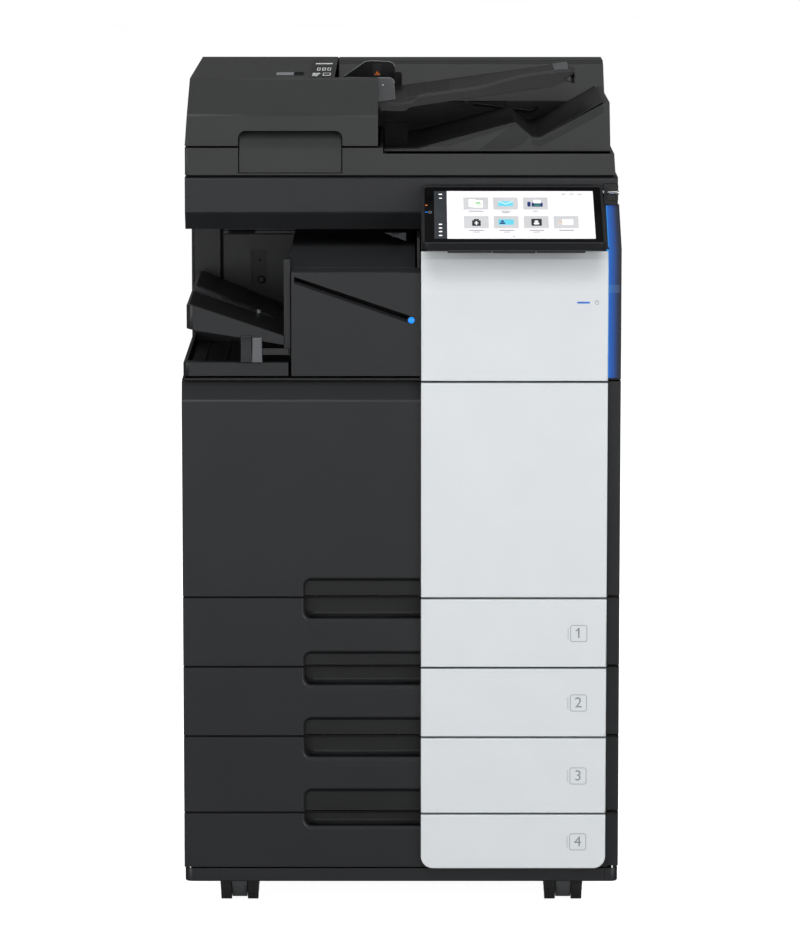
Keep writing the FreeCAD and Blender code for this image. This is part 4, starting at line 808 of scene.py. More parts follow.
def makeOutputTrays():
    t = outputTray
    low, high = boxOf("upper_output_tray")
    fall = (high.z - 826) / (high.x - (low.x + 4))      # the upper tray runs down to the right

    def surface(x):
        return high.z - fall * (x - low.x - 4)

    bm = bmesh.new()
    prism(bm, [(low.x + 2.5, high.z - 3), (low.x + 2.5, high.z + t["ridgeRise"] - 4),
               (low.x + 7, high.z + t["ridgeRise"]), (t["ridgeEnd"], surface(t["ridgeEnd"]) + 1.4),
               (t["ridgeEnd"], surface(t["ridgeEnd"]) - 1.5)], "y", t["ridgeFront"], high.y - 2)
    piece("upper_tray_ridge", bm, "finisher", "dark_shell", charcoalAbs, edge=1.6)
    bm = bmesh.new()
    prism(bm, [(low.x + 9, high.z + t["ridgeRise"] - 1), (low.x + 9, high.z + t["ridgeRise"] + 0.2),
               (t["ridgeEnd"] + 2, surface(t["ridgeEnd"]) + 1.4),
               (t["ridgeEnd"] + 2, surface(t["ridgeEnd"]) + 0.6)],
          "y", t["ridgeFront"] + 4, high.y - 4)
    piece("upper_tray_pad", bm, "finisher", "inner_black", blackAbs, edge=0.2)
    bm = bmesh.new()
    prism(bm, [(low.x + 5, high.z - 1.4), (low.x + 5, high.z + 0.3), (high.x - 1, 826.6),
               (high.x - 1, 825.6)], "y", low.y + 4, t["ridgeFront"] - 1)
    piece("upper_tray_front_pad", bm, "finisher", "inner_black", blackAbs, edge=0.2)
    front = t["ridgeFront"]
    bm = bmesh.new()
    wire(bm, [(-256, front - 1.2, surface(-256) + 4.4), (-250, front - 1.8, surface(-250) + 6),
              (-206, front - 1.8, surface(-206) + 5)], 0.9)
    piece("upper_tray_wire", bm, "finisher", "caster_grey", darkSteel, edge=0)
    bm = bmesh.new()
    brick(bm, (-206, -201), (front - 3, front + 1), (surface(-204) + 0.4, surface(-204) + 5.2))
    piece("upper_tray_stop", bm, "finisher", "caster_grey", greyAbs, edge=0.6)
    top = boxOf("lower_output_tray")[1].z
    for name, span, material, slot, crest in (("dark", t["darkGrip"], charcoalAbs, "dark_shell", 827),
                                              ("light", t["lightGrip"], ashAbs, "caster_grey", 824)):
        bm = bmesh.new()
        y0 = t["gripFront"]
        strip(bm, [[(span[0] + (0.8 if z > 800 else 0), y0 + lean, z),
                    (span[1] - (0.8 if z > 800 else 0), y0 + lean, z),
                    (span[1], y0 + t["gripDeep"], z), (span[0], y0 + t["gripDeep"], z)]
                   for z, lean in ((top + 0.2, 0.6), (crest - 7, 0.2), (crest - 2, 1.8), (crest, 3.4))])
        piece(f"tray_grip_{name}", bm, "finisher", slot, material, edge=0.8)
    bm = bmesh.new()
    brick(bm, t["bar"], (t["gripFront"] + 2.4, t["gripFront"] + 6), t["barZ"])
    piece("tray_grip_bar", bm, "finisher", "dark_shell", charcoalAbs, edge=0.8)
    low, high = boxOf("lower_output_tray")
    bm = bmesh.new()
    brick(bm, (low.x + 7, high.x - 5), (low.y + 25, high.y - 6), (low.z + 4.2, low.z + 5.4))
    for k in range(4):
        x = low.x + 24 + 30 * k
        brick(bm, (x, x + 3), (low.y + 30, high.y - 10), (low.z + 5, low.z + 8))
    piece("lower_tray_ribs", bm, "finisher", "inner_black", blackAbs, edge=0.5)


makeFinisherFront()
makeOutputTrays()


# Toner door: its lit bar and wake-up mark. Right of it the dark strip carries painted blue light,
# emission standing in for the light from the gap, and a painted highlight at its bend.

tonerDoor = {"bar": (244.7, 262.8), "z": 874.3, "barHigh": 2.6, "mark": 272.6, "markRadius": 2.9}
# bend: the heights of the strip's painted bend highlight
paintedLightStrip = {"left": 288.6, "right": 307.1, "skin": 0.45, "bend": (886, 897), "rampBack": -185.5}


def paintedGapLightMaterial(name, left, right, stops, strength):
    # painted light: emission that stands in for light leaking from a gap, strongest at the left edge,
    # gone at the right
    material, tree, shader, coords = startMaterial(name, 0.42, 1.46)
    across = addNode(tree, "SeparateXYZ", {"Vector": coords})
    place = addNode(tree, "MapRange", {"Value": across.outputs["X"], "From Min": left / 1000,
                                       "From Max": right / 1000})
    colour = addNode(tree, "ValToRGB", {"Fac": place.outputs["Result"]}, stops)
    tree.links.new(colour.outputs["Color"], shader.inputs["Emission Color"])
    grain = addNode(tree, "TexNoise", {"Vector": coords, "Scale": perMm(1.3), "Detail": 3.0})
    base = addNode(tree, "ValToRGB", {"Fac": grain.outputs["Fac"]},
                   [(0.3, "#1c2026"), (0.7, "#20252c")])
    tree.links.new(base.outputs["Color"], shader.inputs["Base Color"])
    shader.inputs["Emission Strength"].default_value = strength
    return material


stripPaintedGapLight = paintedGapLightMaterial("abs_painted_blue_gap_light", paintedLightStrip["left"], paintedLightStrip["right"],
                     [(0.0, "#2f93e0"), (0.1, "#0a62c4"), (0.42, "#0d4b9c"), (0.75, "#141f3c"),
                      (1.0, "#050607")], 0.92)
# painted highlight: a blue band where the strip bends back
stripPaintedBendHighlight = paintedGapLightMaterial("abs_painted_blue_bend_highlight", paintedLightStrip["left"], paintedLightStrip["right"],
                         [(0.0, "#3488d8"), (0.3, "#2f66ad"), (0.75, "#38486a"), (1.0, "#1a1d20")], 0.9)


def makeTonerDoorDetails():
    d = tonerDoor
    face = boxOf("toner_door")[0].y
    bm = bmesh.new()
    prism(bm, rounded(*d["bar"], d["z"] - d["barHigh"] / 2, d["z"] + d["barHigh"] / 2, 1.2), "y",
          face - 0.35, face + 0.4)
    piece("power_light_bar", bm, "toner_door", "screen_glass", deepBlueLight, edge=0)
    bm = bmesh.new()
    r = d["markRadius"]
    frameOutline(bm, circle(d["mark"], d["z"], r), circle(d["mark"], d["z"], r - 0.6), "y",
                 face - 0.25, face + 0.3)
    brick(bm, (d["mark"] - 0.3, d["mark"] + 0.3), (face - 0.25, face + 0.3), (d["z"], d["z"] + r + 1))
    piece("power_mark", bm, "toner_door", "white_shell", greyInk, edge=0)


def makePaintedLightStrip():
    b = paintedLightStrip
    low, high = boxOf("upper_front_cover")
    y0 = boxOf("front_door")[0].y + 9
    bend = boxOf("toner_door")[1].z + 3
    rampTop = (b["rampBack"], high.z - 29)
    lift = b["skin"]
    # the strip's face carries the painted blue gap light
    bm = bmesh.new()
    prism(bm, [(y0 + 0.2, low.z + 2), (y0 + 0.2, bend), (rampTop[0], rampTop[1] - 1),
               (rampTop[0] - lift, rampTop[1] - 0.6), (y0 - lift, bend + 0.2), (y0 - lift, low.z + 2)],
          "x", b["left"], b["right"])
    piece("strip_painted_blue_gap_light", bm, "root", "dark_shell", stripPaintedGapLight, edge=0.3)
    # a thin band at the bend, drawn with the painted bend highlight
    bm = bmesh.new()
    brick(bm, (b["left"], b["right"] - 1.5), (y0 - lift - 0.25, y0 - lift + 0.2), b["bend"])
    piece("strip_painted_bend_highlight", bm, "root", "dark_shell", stripPaintedBendHighlight, edge=0)


# Stylus rest: a black cradle on the pillar, the barrel showing in front of it.

stylusRest = {"left": 289.6, "right": 306, "low": 1001.5, "high": 1029, "thick": 1.4}


def makeStylusRest():
    r = stylusRest
    low, high = boxOf("stylus")
    y0 = low.y - 1.5
    middle = (low.z + high.z) / 2
    bm = bmesh.new()
    prism(bm, rounded(r["left"], r["right"], r["low"] + 5, r["high"], 4, (1, 0.2, 0.2, 1)), "y",
          y0 - r["thick"], y0)
    piece("stylus_cradle", bm, "root", "inner_black", blackAbs, edge=0.3)
    bm = bmesh.new()
    turned(bm, [(1.2, r["left"] + 1), (1.9, r["left"] + 3), (2.5, r["right"] - 6), (2.7, r["right"]),
                (2.2, r["right"] + 1)], "x", y0 - r["thick"] - 0.6, middle)
    piece("stylus_barrel", bm, "stylus", "stylus_metal", satinPlate, edge=0)


makeTonerDoorDetails()
makePaintedLightStrip()
makeStylusRest()
print("stage: bay, finisher, toner door and stylus")


# Document feeder: top slot window, printed guide plate, hand recess liner and the dark parting gap.

feederTop = {"slotX": (-180.5, -138), "slotY": (-88, -13), "windowEnd": -154,
             "plate": [(-131, -121), (-97, -121), (-96.2, 128), (-121, 252), (-131, 252)],
             "recess": (-228.6, -84.9), "liner": [(1.4, 1045.2), (1.4, 1077), (2.2, 1084), (4.6, 1090.5),
                                                   (9, 1097), (14.5, 1101.8), (16.6, 1102.6)],
             "gap": 6}


def makeFeederTop():
    f = feederTop
    low, high = boxOf("feeder_cover")
    top = high.z
    bm = bmesh.new()
    (x0, x1), (y0, y1) = f["slotX"], f["slotY"]
    frameOutline(bm, rounded(x0, x1, y0, y1, 4), rounded(x0 + 1.6, x1 - 1.6, y0 + 5, y1 - 5, 3), "z",
                 top - 0.3, top + 0.35)
    piece("window_bezel", bm, "feeder_cover", "dark_shell", shadeAbs, edge=0)
    bm = bmesh.new()
    brick(bm, (f["windowEnd"], x1 - 1.6), (y0 + 5, y1 - 5), (top - 0.2, top + 0.1))
    piece("window_dark_end", bm, "feeder_cover", "inner_black", blackFoamAndShade, edge=0)
    bm = bmesh.new()
    brick(bm, (x0 + 1.6, f["windowEnd"]), (y0 + 5, y1 - 5), (top - 0.2, top + 0.12))
    piece("window_lens", bm, "feeder_cover", "screen_glass", greyAbs, edge=0)
    bm = bmesh.new()
    prism(bm, f["plate"], "z", top - 0.2, top + 0.6)
    piece("guide_plate", bm, "feeder_cover", "inner_black", shadeAbs, edge=0.2)
    bm = bmesh.new()
    marks = [(-126, -101, 150, 172), (-122, -117, 10, 70), (-114.5, -109.5, 10, 70),
             (-107, -102, 10, 70), (-127, -116, -60, -44), (-127, -118, -80, -68),
             (-112, -101, -96, -40), (-127, -119, -104, -92)]
    for x0, x1, y0, y1 in marks:
        brick(bm, (x0, x1), (y0, y1), (top + 0.55, top + 0.72))
    piece("guide_plate_print", bm, "feeder_cover", "white_shell", whiteInk, edge=0)
    bm = bmesh.new()
    for x0, x1, y0, y1 in marks[1:4] + marks[6:7]:
        brick(bm, (x0 + 1.3, x1 - 1.3), (y0 + 9, y1 - 9), (top + 0.7, top + 0.8))
    piece("guide_plate_marks", bm, "feeder_cover", "inner_black", shadeAbs, edge=0)
    front = low.y
    bm = bmesh.new()
    profile = [(front + y, z) for y, z in f["liner"]]
    prism(bm, profile + [(front + 16.6, 1045.2)], "x", *f["recess"])
    piece("hand_recess_liner", bm, "feeder", "dark_shell", slateAndHighlightAbs, edge=0, smooth=50)
    base = boxOf("feeder_base")
    bm = bmesh.new()
    brick(bm, (base[0].x + 3, base[1].x - 4), (front + f["gap"], front + f["gap"] + 5),
          (base[0].z - 2.6, base[0].z + 0.3))
    piece("feeder_light_seal", bm, "feeder", "inner_black", blackFoamAndShade, edge=0)
    bm = bmesh.new()
    brick(bm, (-94.8, -92.8), (250, high.y - 6), (low.z + 2, top - 0.8))
    piece("cover_gap_seal", bm, "feeder", "inner_black", blackFoamAndShade, edge=0)


# Feed tray: a raised front rim in a long S, the deep underside with its hooked end, marks on top.

feedTray = {"rim": [(-30, 1135.6), (4, 1140.2), (16, 1142.6), (20, 1146), (23, 1150), (30, 1151),
                    (60, 1155.2), (92, 1159.6), (106, 1161.6), (118, 1164.2), (133, 1168.4),
                    (150, 1173.6), (164, 1177.2), (176, 1179.4), (200, 1183), (226, 1186.6),
                    (243, 1187)],
            "under": [(230, 1172), (227, 1168), (214, 1162.2), (208, 1161.6), (110, 1147.8),
                      (12, 1133.4), (6, 1127.6), (-30, 1128.4)],
            "slope": 0.139, "tipX": (222, 243), "level": 1143.8}


def trayLevel(x, above=0):
    return feedTray["level"] + feedTray["slope"] * (x + 8) + above


def makeFeedTray():
    t = feedTray
    low, high = boxOf("feed_tray")
    front = low.y
    bm = bmesh.new()
    prism(bm, t["rim"] + [(243, 1181)] + t["under"], "y", front - 0.6, front + 3.2)
    piece("tray_front_wall", bm, "document_tray", "dark_shell", blackAbs, edge=0.5)
    # the rim's top is lighter ABS: a rounded edge catching light, partly painted highlight
    bm = bmesh.new()
    rows = []
    for x, z in t["rim"]:
        rows.append([(x, front - 1.6, z - 3.2), (x, front - 1.8, z - 0.8), (x, front - 0.8, z + 0.8),
                     (x, front + 1.2, z + 1.3), (x, front + 4.5, z + 0.6), (x, front + 4.6, z - 3.2)])
    strip(bm, rows)
    piece("tray_front_rim", bm, "document_tray", "dark_shell", slateAndHighlightAbs, edge=0, smooth=70)
    bm = bmesh.new()
    prism(bm, [(x, z) for x, z in ((238, 1187.4), (245.5, 1187.2), (247.2, 1184), (247.8, 1175.6),
                                   (246, 1175.4), (244.4, 1182.6), (238, 1183))],
          "y", front - 1.8, front + 60)
    piece("tray_hooked_end", bm, "document_tray", "dark_shell", charcoalAbs, edge=0.5)
    bm = bmesh.new()
    x0, x1 = t["tipX"]
    prism(bm, [(x0, trayLevel(x0, -0.4)), (x1, trayLevel(x1, -0.4)), (x1, trayLevel(x1, 1.4)),
               (x0, trayLevel(x0, 1.2))], "y", front + 5, high.y - 2)
    piece("tray_tip_plate", bm, "document_tray", "caster_grey", greyNylon, edge=0.4)
    bm = bmesh.new()
    for x in (84, 158):
        corners = [(x, front + 6), (x + 13, front + 6), (x + 3, 95)]
        bottom = [bm.verts.new(Vector((u, v, trayLevel(u, -0.3))) / 1000) for u, v in corners]
        top = [bm.verts.new(Vector((u, v, trayLevel(u, 0.7 if i == 1 else 0.15))) / 1000)
               for i, (u, v) in enumerate(corners)]
        bm.faces.new(bottom)
        bm.faces.new(top)
        for i in range(3):
            bm.faces.new((bottom[i], bottom[(i + 1) % 3], top[(i + 1) % 3], top[i]))
    piece("tray_size_facets", bm, "document_tray", "inner_black", blackAbs, edge=0)
    bm = bmesh.new()
    for y in (-70, -30, 10, 50, 90):
        rows = [[(x, y - 0.5, trayLevel(x, -0.2)), (x, y + 0.5, trayLevel(x, -0.2)),
                 (x, y + 0.3, trayLevel(x, 0.5)), (x, y - 0.3, trayLevel(x, 0.5))] for x in (8, 70)]
        strip(bm, rows)
    piece("tray_paper_ribs", bm, "document_tray", "dark_shell", charcoalAbs, edge=0)


# Document guides: folded side plates with a foot; the rear one taller, with its size window.

documentGuide = {"left": -84, "right": -8, "rear": [(-8, 1145), (-9.5, 1172), (-13, 1178), (-18, 1180),
                                                   (-45, 1181.2), (-53, 1180), (-84, 1158.5)],
                 "front": [(-8, 1145), (-9.8, 1168), (-12, 1173), (-16, 1175), (-77.5, 1175.6),
                           (-84, 1159)]}


def makeGuides():
    g = documentGuide
    for name, outline, material in (("front", g["front"], greyNylon), ("rear", g["rear"], blackAbs)):
        low, high = boxOf("guide_" + name)
        y0, y1 = low.y, high.y
        body = name + "_guide"
        foot = (g["left"], trayLevel(g["left"], 0.7))
        end = (g["right"], trayLevel(g["right"], 0.7))
        bm = bmesh.new()
        prism(bm, [foot, end] + outline[1:], "y", y0, y0 + 1.8)
        inner = (y0 + 1.8, y1 + 14) if name == "front" else (y0 - 14, y0)
        prism(bm, [foot, end, (end[0], end[1] + 1.4), (foot[0], foot[1] + 1.4)], "y", *inner)
        piece(f"document_guide_{name}", bm, body, "inner_black", material, edge=0.3,
              replaces=("guide_" + name,))
        bm = bmesh.new()
        wire(bm, [(x, y0 + 0.9, z) for x, z in outline[1:]], 0.75)
        piece(f"guide_edge_{name}", bm, body, "caster_grey", greyAbs, edge=0, smooth=60)
    low = boxOf("guide_front")[0]
    bm = bmesh.new()
    for x, z in ((-34.2, 1166.6), (-26, 1165.2)):
        turned(bm, [(1.1, low.y + 0.4), (1.1, low.y - 0.25), (0.7, low.y - 0.35)], "y", x, z, 16)
    piece("guide_dots", bm, "front_guide", "white_shell", whiteInk, edge=0)
    low = boxOf("guide_rear")[0]
    bm = bmesh.new()
    brick(bm, (-42, -30), (low.y - 0.3, low.y + 0.4), (1158, 1177))
    piece("guide_label", bm, "rear_guide", "dark_shell", charcoalAbs, edge=0)
    bm = bmesh.new()
    brick(bm, (-39.5, -31.5), (low.y - 0.5, low.y), (1160.6, 1162.4))
    prism(bm, [(-37.5, 1162.2), (-35.5, 1167), (-33.5, 1162.2)], "y", low.y - 0.5, low.y)
    piece("guide_arrow", bm, "rear_guide", "white_shell", orangeInk, edge=0)
    bm = bmesh.new()
    prism(bm, [(-10.4, trayLevel(-10, 0.7)), (1, trayLevel(1, 0.7)), (1, 1164), (-1.6, 1166.4),
               (-7, 1166.2), (-10.4, 1163.4)], "y", low.y - 18, low.y - 14)
    piece("guide_post", bm, "rear_guide", "inner_black", blackAbs, edge=0.8)


# Sheet exit: a black skin over the folded floor that is painted shade, a lighter bar on its ridge that
# is a painted highlight, inner wall, lever and seams.

sheetExit = {"fold": [(-23, 1076.2), (23.7, 1077.4), (159.8, 1113.9), (184, 1093.9), (196, 1092.9),
                      (284.6, 1143.2)], "frontIn": 1.5, "ridge": [(38, 1080.6), (158.8, 1113.2),
                      (162, 1112.6), (183, 1094.6)],
             "wall": (-23.4, 8, 1078, 1110.6), "seamX": (27, 152.6),
             "lever": [(106, 1117.4), (146, 1112.6), (190, 1106.7), (196, 1107.4), (201.5, 1113.4)]}


def makeSheetExit():
    e = sheetExit
    low, high = boxOf("feeder_housing")
    towerFront = high.y - 158
    front = low.y
    # the black skin is painted shade on the sloping floor, which lies in shadow
    bm = bmesh.new()
    skin = [(x, z + 0.5) for x, z in e["fold"]]
    prism(bm, skin + [(x, z - 0.3) for x, z in reversed(e["fold"])], "y", front + e["frontIn"],
          towerFront - 0.5)
    piece("exit_floor_painted_shade_skin", bm, "feeder", "inner_black", blackAbs, edge=0)
    # a lighter bar along the ridge's front edge: painted highlight
    bm = bmesh.new()
    wire(bm, [(x, front + 0.2, z) for x, z in e["ridge"]], 0.9)
    piece("exit_ridge_painted_highlight", bm, "feeder", "dark_shell", slateAndHighlightAbs, edge=0)
    bm = bmesh.new()
    prism(bm, [(46, 1080.6), (66, 1080.6), (158.8, 1109.4), (158.8, 1112.2)], "y", front - 0.9,
          front + 0.2)
    piece("exit_ridge_step", bm, "feeder", "dark_shell", charcoalAbs, edge=0.3)
    bm = bmesh.new()
    prism(bm, [(112, 1077.2), (158, 1110.4), (160.6, 1110.4), (181, 1093.8), (173, 1085), (158, 1077.2)],
          "y", front - 0.5, front + 0.2)
    piece("exit_wedge_facet", bm, "feeder", "dark_shell", shadeAbs, edge=0.2)
    bm = bmesh.new()
    prism(bm, [(184, 1090.6), (196, 1089.4), (284.6, 1139.6), (285.6, 1128), (196, 1079.6), (184, 1084)],
          "y", front - 0.4, front + 0.2)
    piece("exit_slope_facet", bm, "feeder", "dark_shell", shadeAbs, edge=0.2)
    x0, x1, z0, z1 = e["wall"]
    bm = bmesh.new()
    prism(bm, rounded(x0, x1, z0, z1, 1), "y", -104, -100)
    piece("exit_inner_wall", bm, "feeder", "inner_black", blackFoamAndShade, edge=0.4)
    bm = bmesh.new()
    frameOutline(bm, rounded(x0 + 0.5, x1 + 1, z0, z1 + 1, 1), rounded(x0 + 1, x1, z0 + 0.5, z1, 1), "y",
                 -104.3, -100)
    piece("exit_wall_groove", bm, "feeder", "inner_black", blackFoamAndShade, edge=0)
    bm = bmesh.new()
    brick(bm, (e["seamX"][1] - 0.4, e["seamX"][1] + 0.4), (towerFront - 0.25, towerFront + 1),
          (1088, 1120.6))
    brick(bm, (e["seamX"][0] - 0.4, e["seamX"][1]), (towerFront - 0.25, towerFront + 1),
          (1119.8, 1120.6))
    piece("tower_seams", bm, "feeder", "inner_black", blackFoamAndShade, edge=0)
    bm = bmesh.new()
    wire(bm, [(x, towerFront - 3.2, z) for x, z in e["lever"]], 1.9)
    piece("exit_lever", bm, "feeder", "dark_shell", charcoalAbs, edge=0)
    bm = bmesh.new()
    brick(bm, (93, 99), (towerFront - 6, towerFront + 1), (1113.5, 1121))
    piece("exit_lever_bracket", bm, "feeder", "inner_black", blackAbs, edge=0.6)


makeFeederTop()
makeFeedTray()
makeGuides()
makeSheetExit()
print("stage: document feeder")


# Side covers: horizontal seams, air vents with slats, screws and carrying grips.

sideCover = {"seams": (457, 762), "ventLeft": (60, 300, 470, 600), "ventRear": (-250, 60, 520, 680),
             "slat": 3.2, "slatGap": 8.4, "grip": (-60, 60, 250, 284)}


def ventSlats(bm, axis, face, out, u0, u1, v0, v1):
    # sloping slats standing a little proud of a dark opening
    v = v0
    while v + sideCover["slat"] < v1:
        outline = [(face, v), (face + out * 1.4, v + 0.9), (face + out * 1.4, v + 2.2),
                   (face, v + sideCover["slat"])]
        if axis == "x":
            rows = [[(a, u, b) for a, b in outline] for u in (u0, u1)]
        else:
            rows = [[(u, a, b) for a, b in outline] for u in (u0, u1)]
        strip(bm, rows)
        v += sideCover["slatGap"]


def makeSides():
    s = sideCover
    left, right = boxOf("left_covers")[0].x, boxOf("right_covers")[1].x
    back = boxOf("rear_cover")[1].y
    y0, y1 = (corner.y for corner in boxOf("left_covers"))
    bm = bmesh.new()
    for z in s["seams"]:
        brick(bm, (left - 0.12, left + 0.6), (y0 + 1, y1 - 1), (z - 0.6, z + 0.6))
    for y in (y0 + 210, y1 - 96):
        brick(bm, (left - 0.12, left + 0.6), (y - 0.5, y + 0.5), (s["seams"][0], s["seams"][1]))
    z = s["seams"][0]
    brick(bm, (right - 0.6, right + 0.12), (y0 + 1, y1 - 1), (z - 161.6, z - 160.4))
    for z in (330, 690, 820):
        brick(bm, (-300, 300), (back - 0.6, back + 0.12), (z - 0.6, z + 0.6))
    piece("cover_seams", bm, "root", "inner_black", blackFoamAndShade, edge=0)
    u0, u1, v0, v1 = s["ventLeft"]
    r0, r1, w0, w1 = s["ventRear"]
    # the black patches stand for the depth behind the vents: painted shade
    bm = bmesh.new()
    brick(bm, (left - 0.15, left + 0.6), (u0, u1), (v0, v1))
    brick(bm, (r0, r1), (back - 0.6, back + 0.15), (w0, w1))
    brick(bm, (90, 250), (back - 0.6, back + 0.15), (200, 290))
    piece("vent_openings", bm, "root", "inner_black", blackFoamAndShade, edge=0)
    bm = bmesh.new()
    ventSlats(bm, "x", left, -1, u0 + 2, u1 - 2, v0 + 2, v1 - 1)
    ventSlats(bm, "y", back, 1, r0 + 2, r1 - 2, w0 + 2, w1 - 1)
    ventSlats(bm, "y", back, 1, 92, 248, 202, 289)
    piece("vent_slats", bm, "root", "dark_shell", charcoalAbs, edge=0.3)
    bm = bmesh.new()
    g0, g1, h0, h1 = s["grip"]
    for x, out in ((left, -1), (right, 1)):
        frameOutline(bm, rounded(g0, g1, h0, h1, 12, steps=8),
                     rounded(g0 + 5, g1 - 5, h0 + 5, h1 - 5, 8, steps=8), "x",
                     *sorted((x + out * 0.9, x - out * 0.4)))
    piece("carrying_grip_rims", bm, "root", "dark_shell", charcoalAbs, edge=0.2)
    # the grip hollows are flat black patches: painted shade of the recess
    bm = bmesh.new()
    for x, out in ((left, -1), (right, 1)):
        span = sorted((x + out * 0.2, x - out * 0.4))
        prism(bm, rounded(g0 + 4.5, g1 - 4.5, h0 + 4.5, h1 - 4.5, 8, steps=8), "x", *span)
    piece("carrying_grip_hollows", bm, "root", "inner_black", blackFoamAndShade, edge=0)
    makeScrews(left, right, back, y0, y1)


def makeScrews(left, right, back, y0, y1):
    # pan-head screws with a cross recess, set along the cover edges
    heads, marks = bmesh.new(), bmesh.new()
    spots = [("x", left, -1, y, z) for y in (y0 + 16, y1 - 16) for z in (90, 440)]
    spots += [("x", left, -1, y1 - 16, z) for z in (780, 940)]
    spots += [("x", right, 1, y1 - 16, z) for z in (90, 250, 780, 940)]
    spots += [("y", back, 1, x, z) for x in (-290, 290) for z in (84, 340, 600, 800, 950)]
    for axis, face, out, u, z in spots:
        profile = [(3.4, face - out * 0.3), (3.4, face + out * 0.7), (2.6, face + out * 1.3),
                   (1.2, face + out * 1.5)]
        turned(heads, profile, axis, u, z, 20)
        # the cross recess is drawn as black bars: painted shade
        near, far = sorted((face + out * 1.2, face + out * 1.58))
        for du, dz in ((1.7, 0.35), (0.35, 1.7)):
            box = ((near, far), (u - du, u + du), (z - dz, z + dz)) if axis == "x" else \
                ((u - du, u + du), (near, far), (z - dz, z + dz))
            brick(marks, *box)
    piece("cover_screws", heads, "root", "caster_grey", darkSteel, edge=0)
    piece("cover_screw_slots", marks, "root", "inner_black", blackFoamAndShade, edge=0)


# Rear panel: socket pins, network and USB sockets in a plate, a filter frame.

rearPanel = {"plate": (60, 250, 730, 790), "sockets": ((74, 16, 14), (100, 16, 14), (128, 13, 6),
                                                      (150, 13, 6), (178, 40, 12)), "socketZ": 760}


def makeRear():
    r = rearPanel
    back = boxOf("rear_cover")[1].y
    x0, x1, z0, z1 = r["plate"]
    bm = bmesh.new()
    prism(bm, rounded(x0, x1, z0, z1, 5), "y", back - 0.3, back + 0.9)
    piece("socket_plate", bm, "root", "galvanised_steel", galvanised, edge=0.3)
    bm = bmesh.new()
    for x, wide, high in r["sockets"]:
        frameOutline(bm, rounded(x - 2, x + wide + 2, r["socketZ"] - high / 2 - 2,
                                 r["socketZ"] + high / 2 + 2, 1.5),
                     rounded(x, x + wide, r["socketZ"] - high / 2, r["socketZ"] + high / 2, 0.8),
                     "y", back + 0.6, back + 2.4)
    piece("socket_rims", bm, "root", "inner_black", blackAbs, edge=0)
    bm = bmesh.new()
    for x, wide, high in r["sockets"]:
        brick(bm, (x, x + wide), (back + 0.8, back + 1.2), (r["socketZ"] - high / 2,
                                                            r["socketZ"] + high / 2))
        brick(bm, (x + wide * 0.25, x + wide * 0.75), (back + 1.1, back + 1.8),
              (r["socketZ"] + high * 0.1, r["socketZ"] + high * 0.25))
    piece("socket_tongues", bm, "root", "inner_black", blackFoamAndShade, edge=0)
    low, high = boxOf("power_inlet")
    middle = (low + high) / 2
    bm = bmesh.new()
    for dx, dz in ((-7, 1.5), (0, -2.5), (7, 1.5)):
        prism(bm, rounded(middle.x + dx - 1, middle.x + dx + 1, middle.z + dz - 2.4,
                          middle.z + dz + 2.4, 0.5, steps=3), "y", high.y - 15, high.y - 3)
    piece("inlet_pins", bm, "root", "stylus_metal", satinPlate, edge=0.1)
    bm = bmesh.new()
    frameOutline(bm, rounded(low.x + 2, high.x - 2, low.z + 2, high.z - 2, 4),
                 rounded(low.x + 8, high.x - 8, low.z + 5, high.z - 5, 3), "y", high.y - 0.4,
                 high.y + 0.6)
    piece("inlet_bezel", bm, "root", "inner_black", blackAbs, edge=0.2)
    low, high = boxOf("scanner_housing")
    bm = bmesh.new()
    for x in (-240, -150, 60, 150):
        prism(bm, rounded(x, x + 60, low.z + 20, low.z + 44, 6), "y", high.y - 0.2, high.y + 0.8)
    piece("scanner_rear_plates", bm, "root", "dark_shell", charcoalAbs, edge=0.3)


# Skirt seam, side door and bypass details.

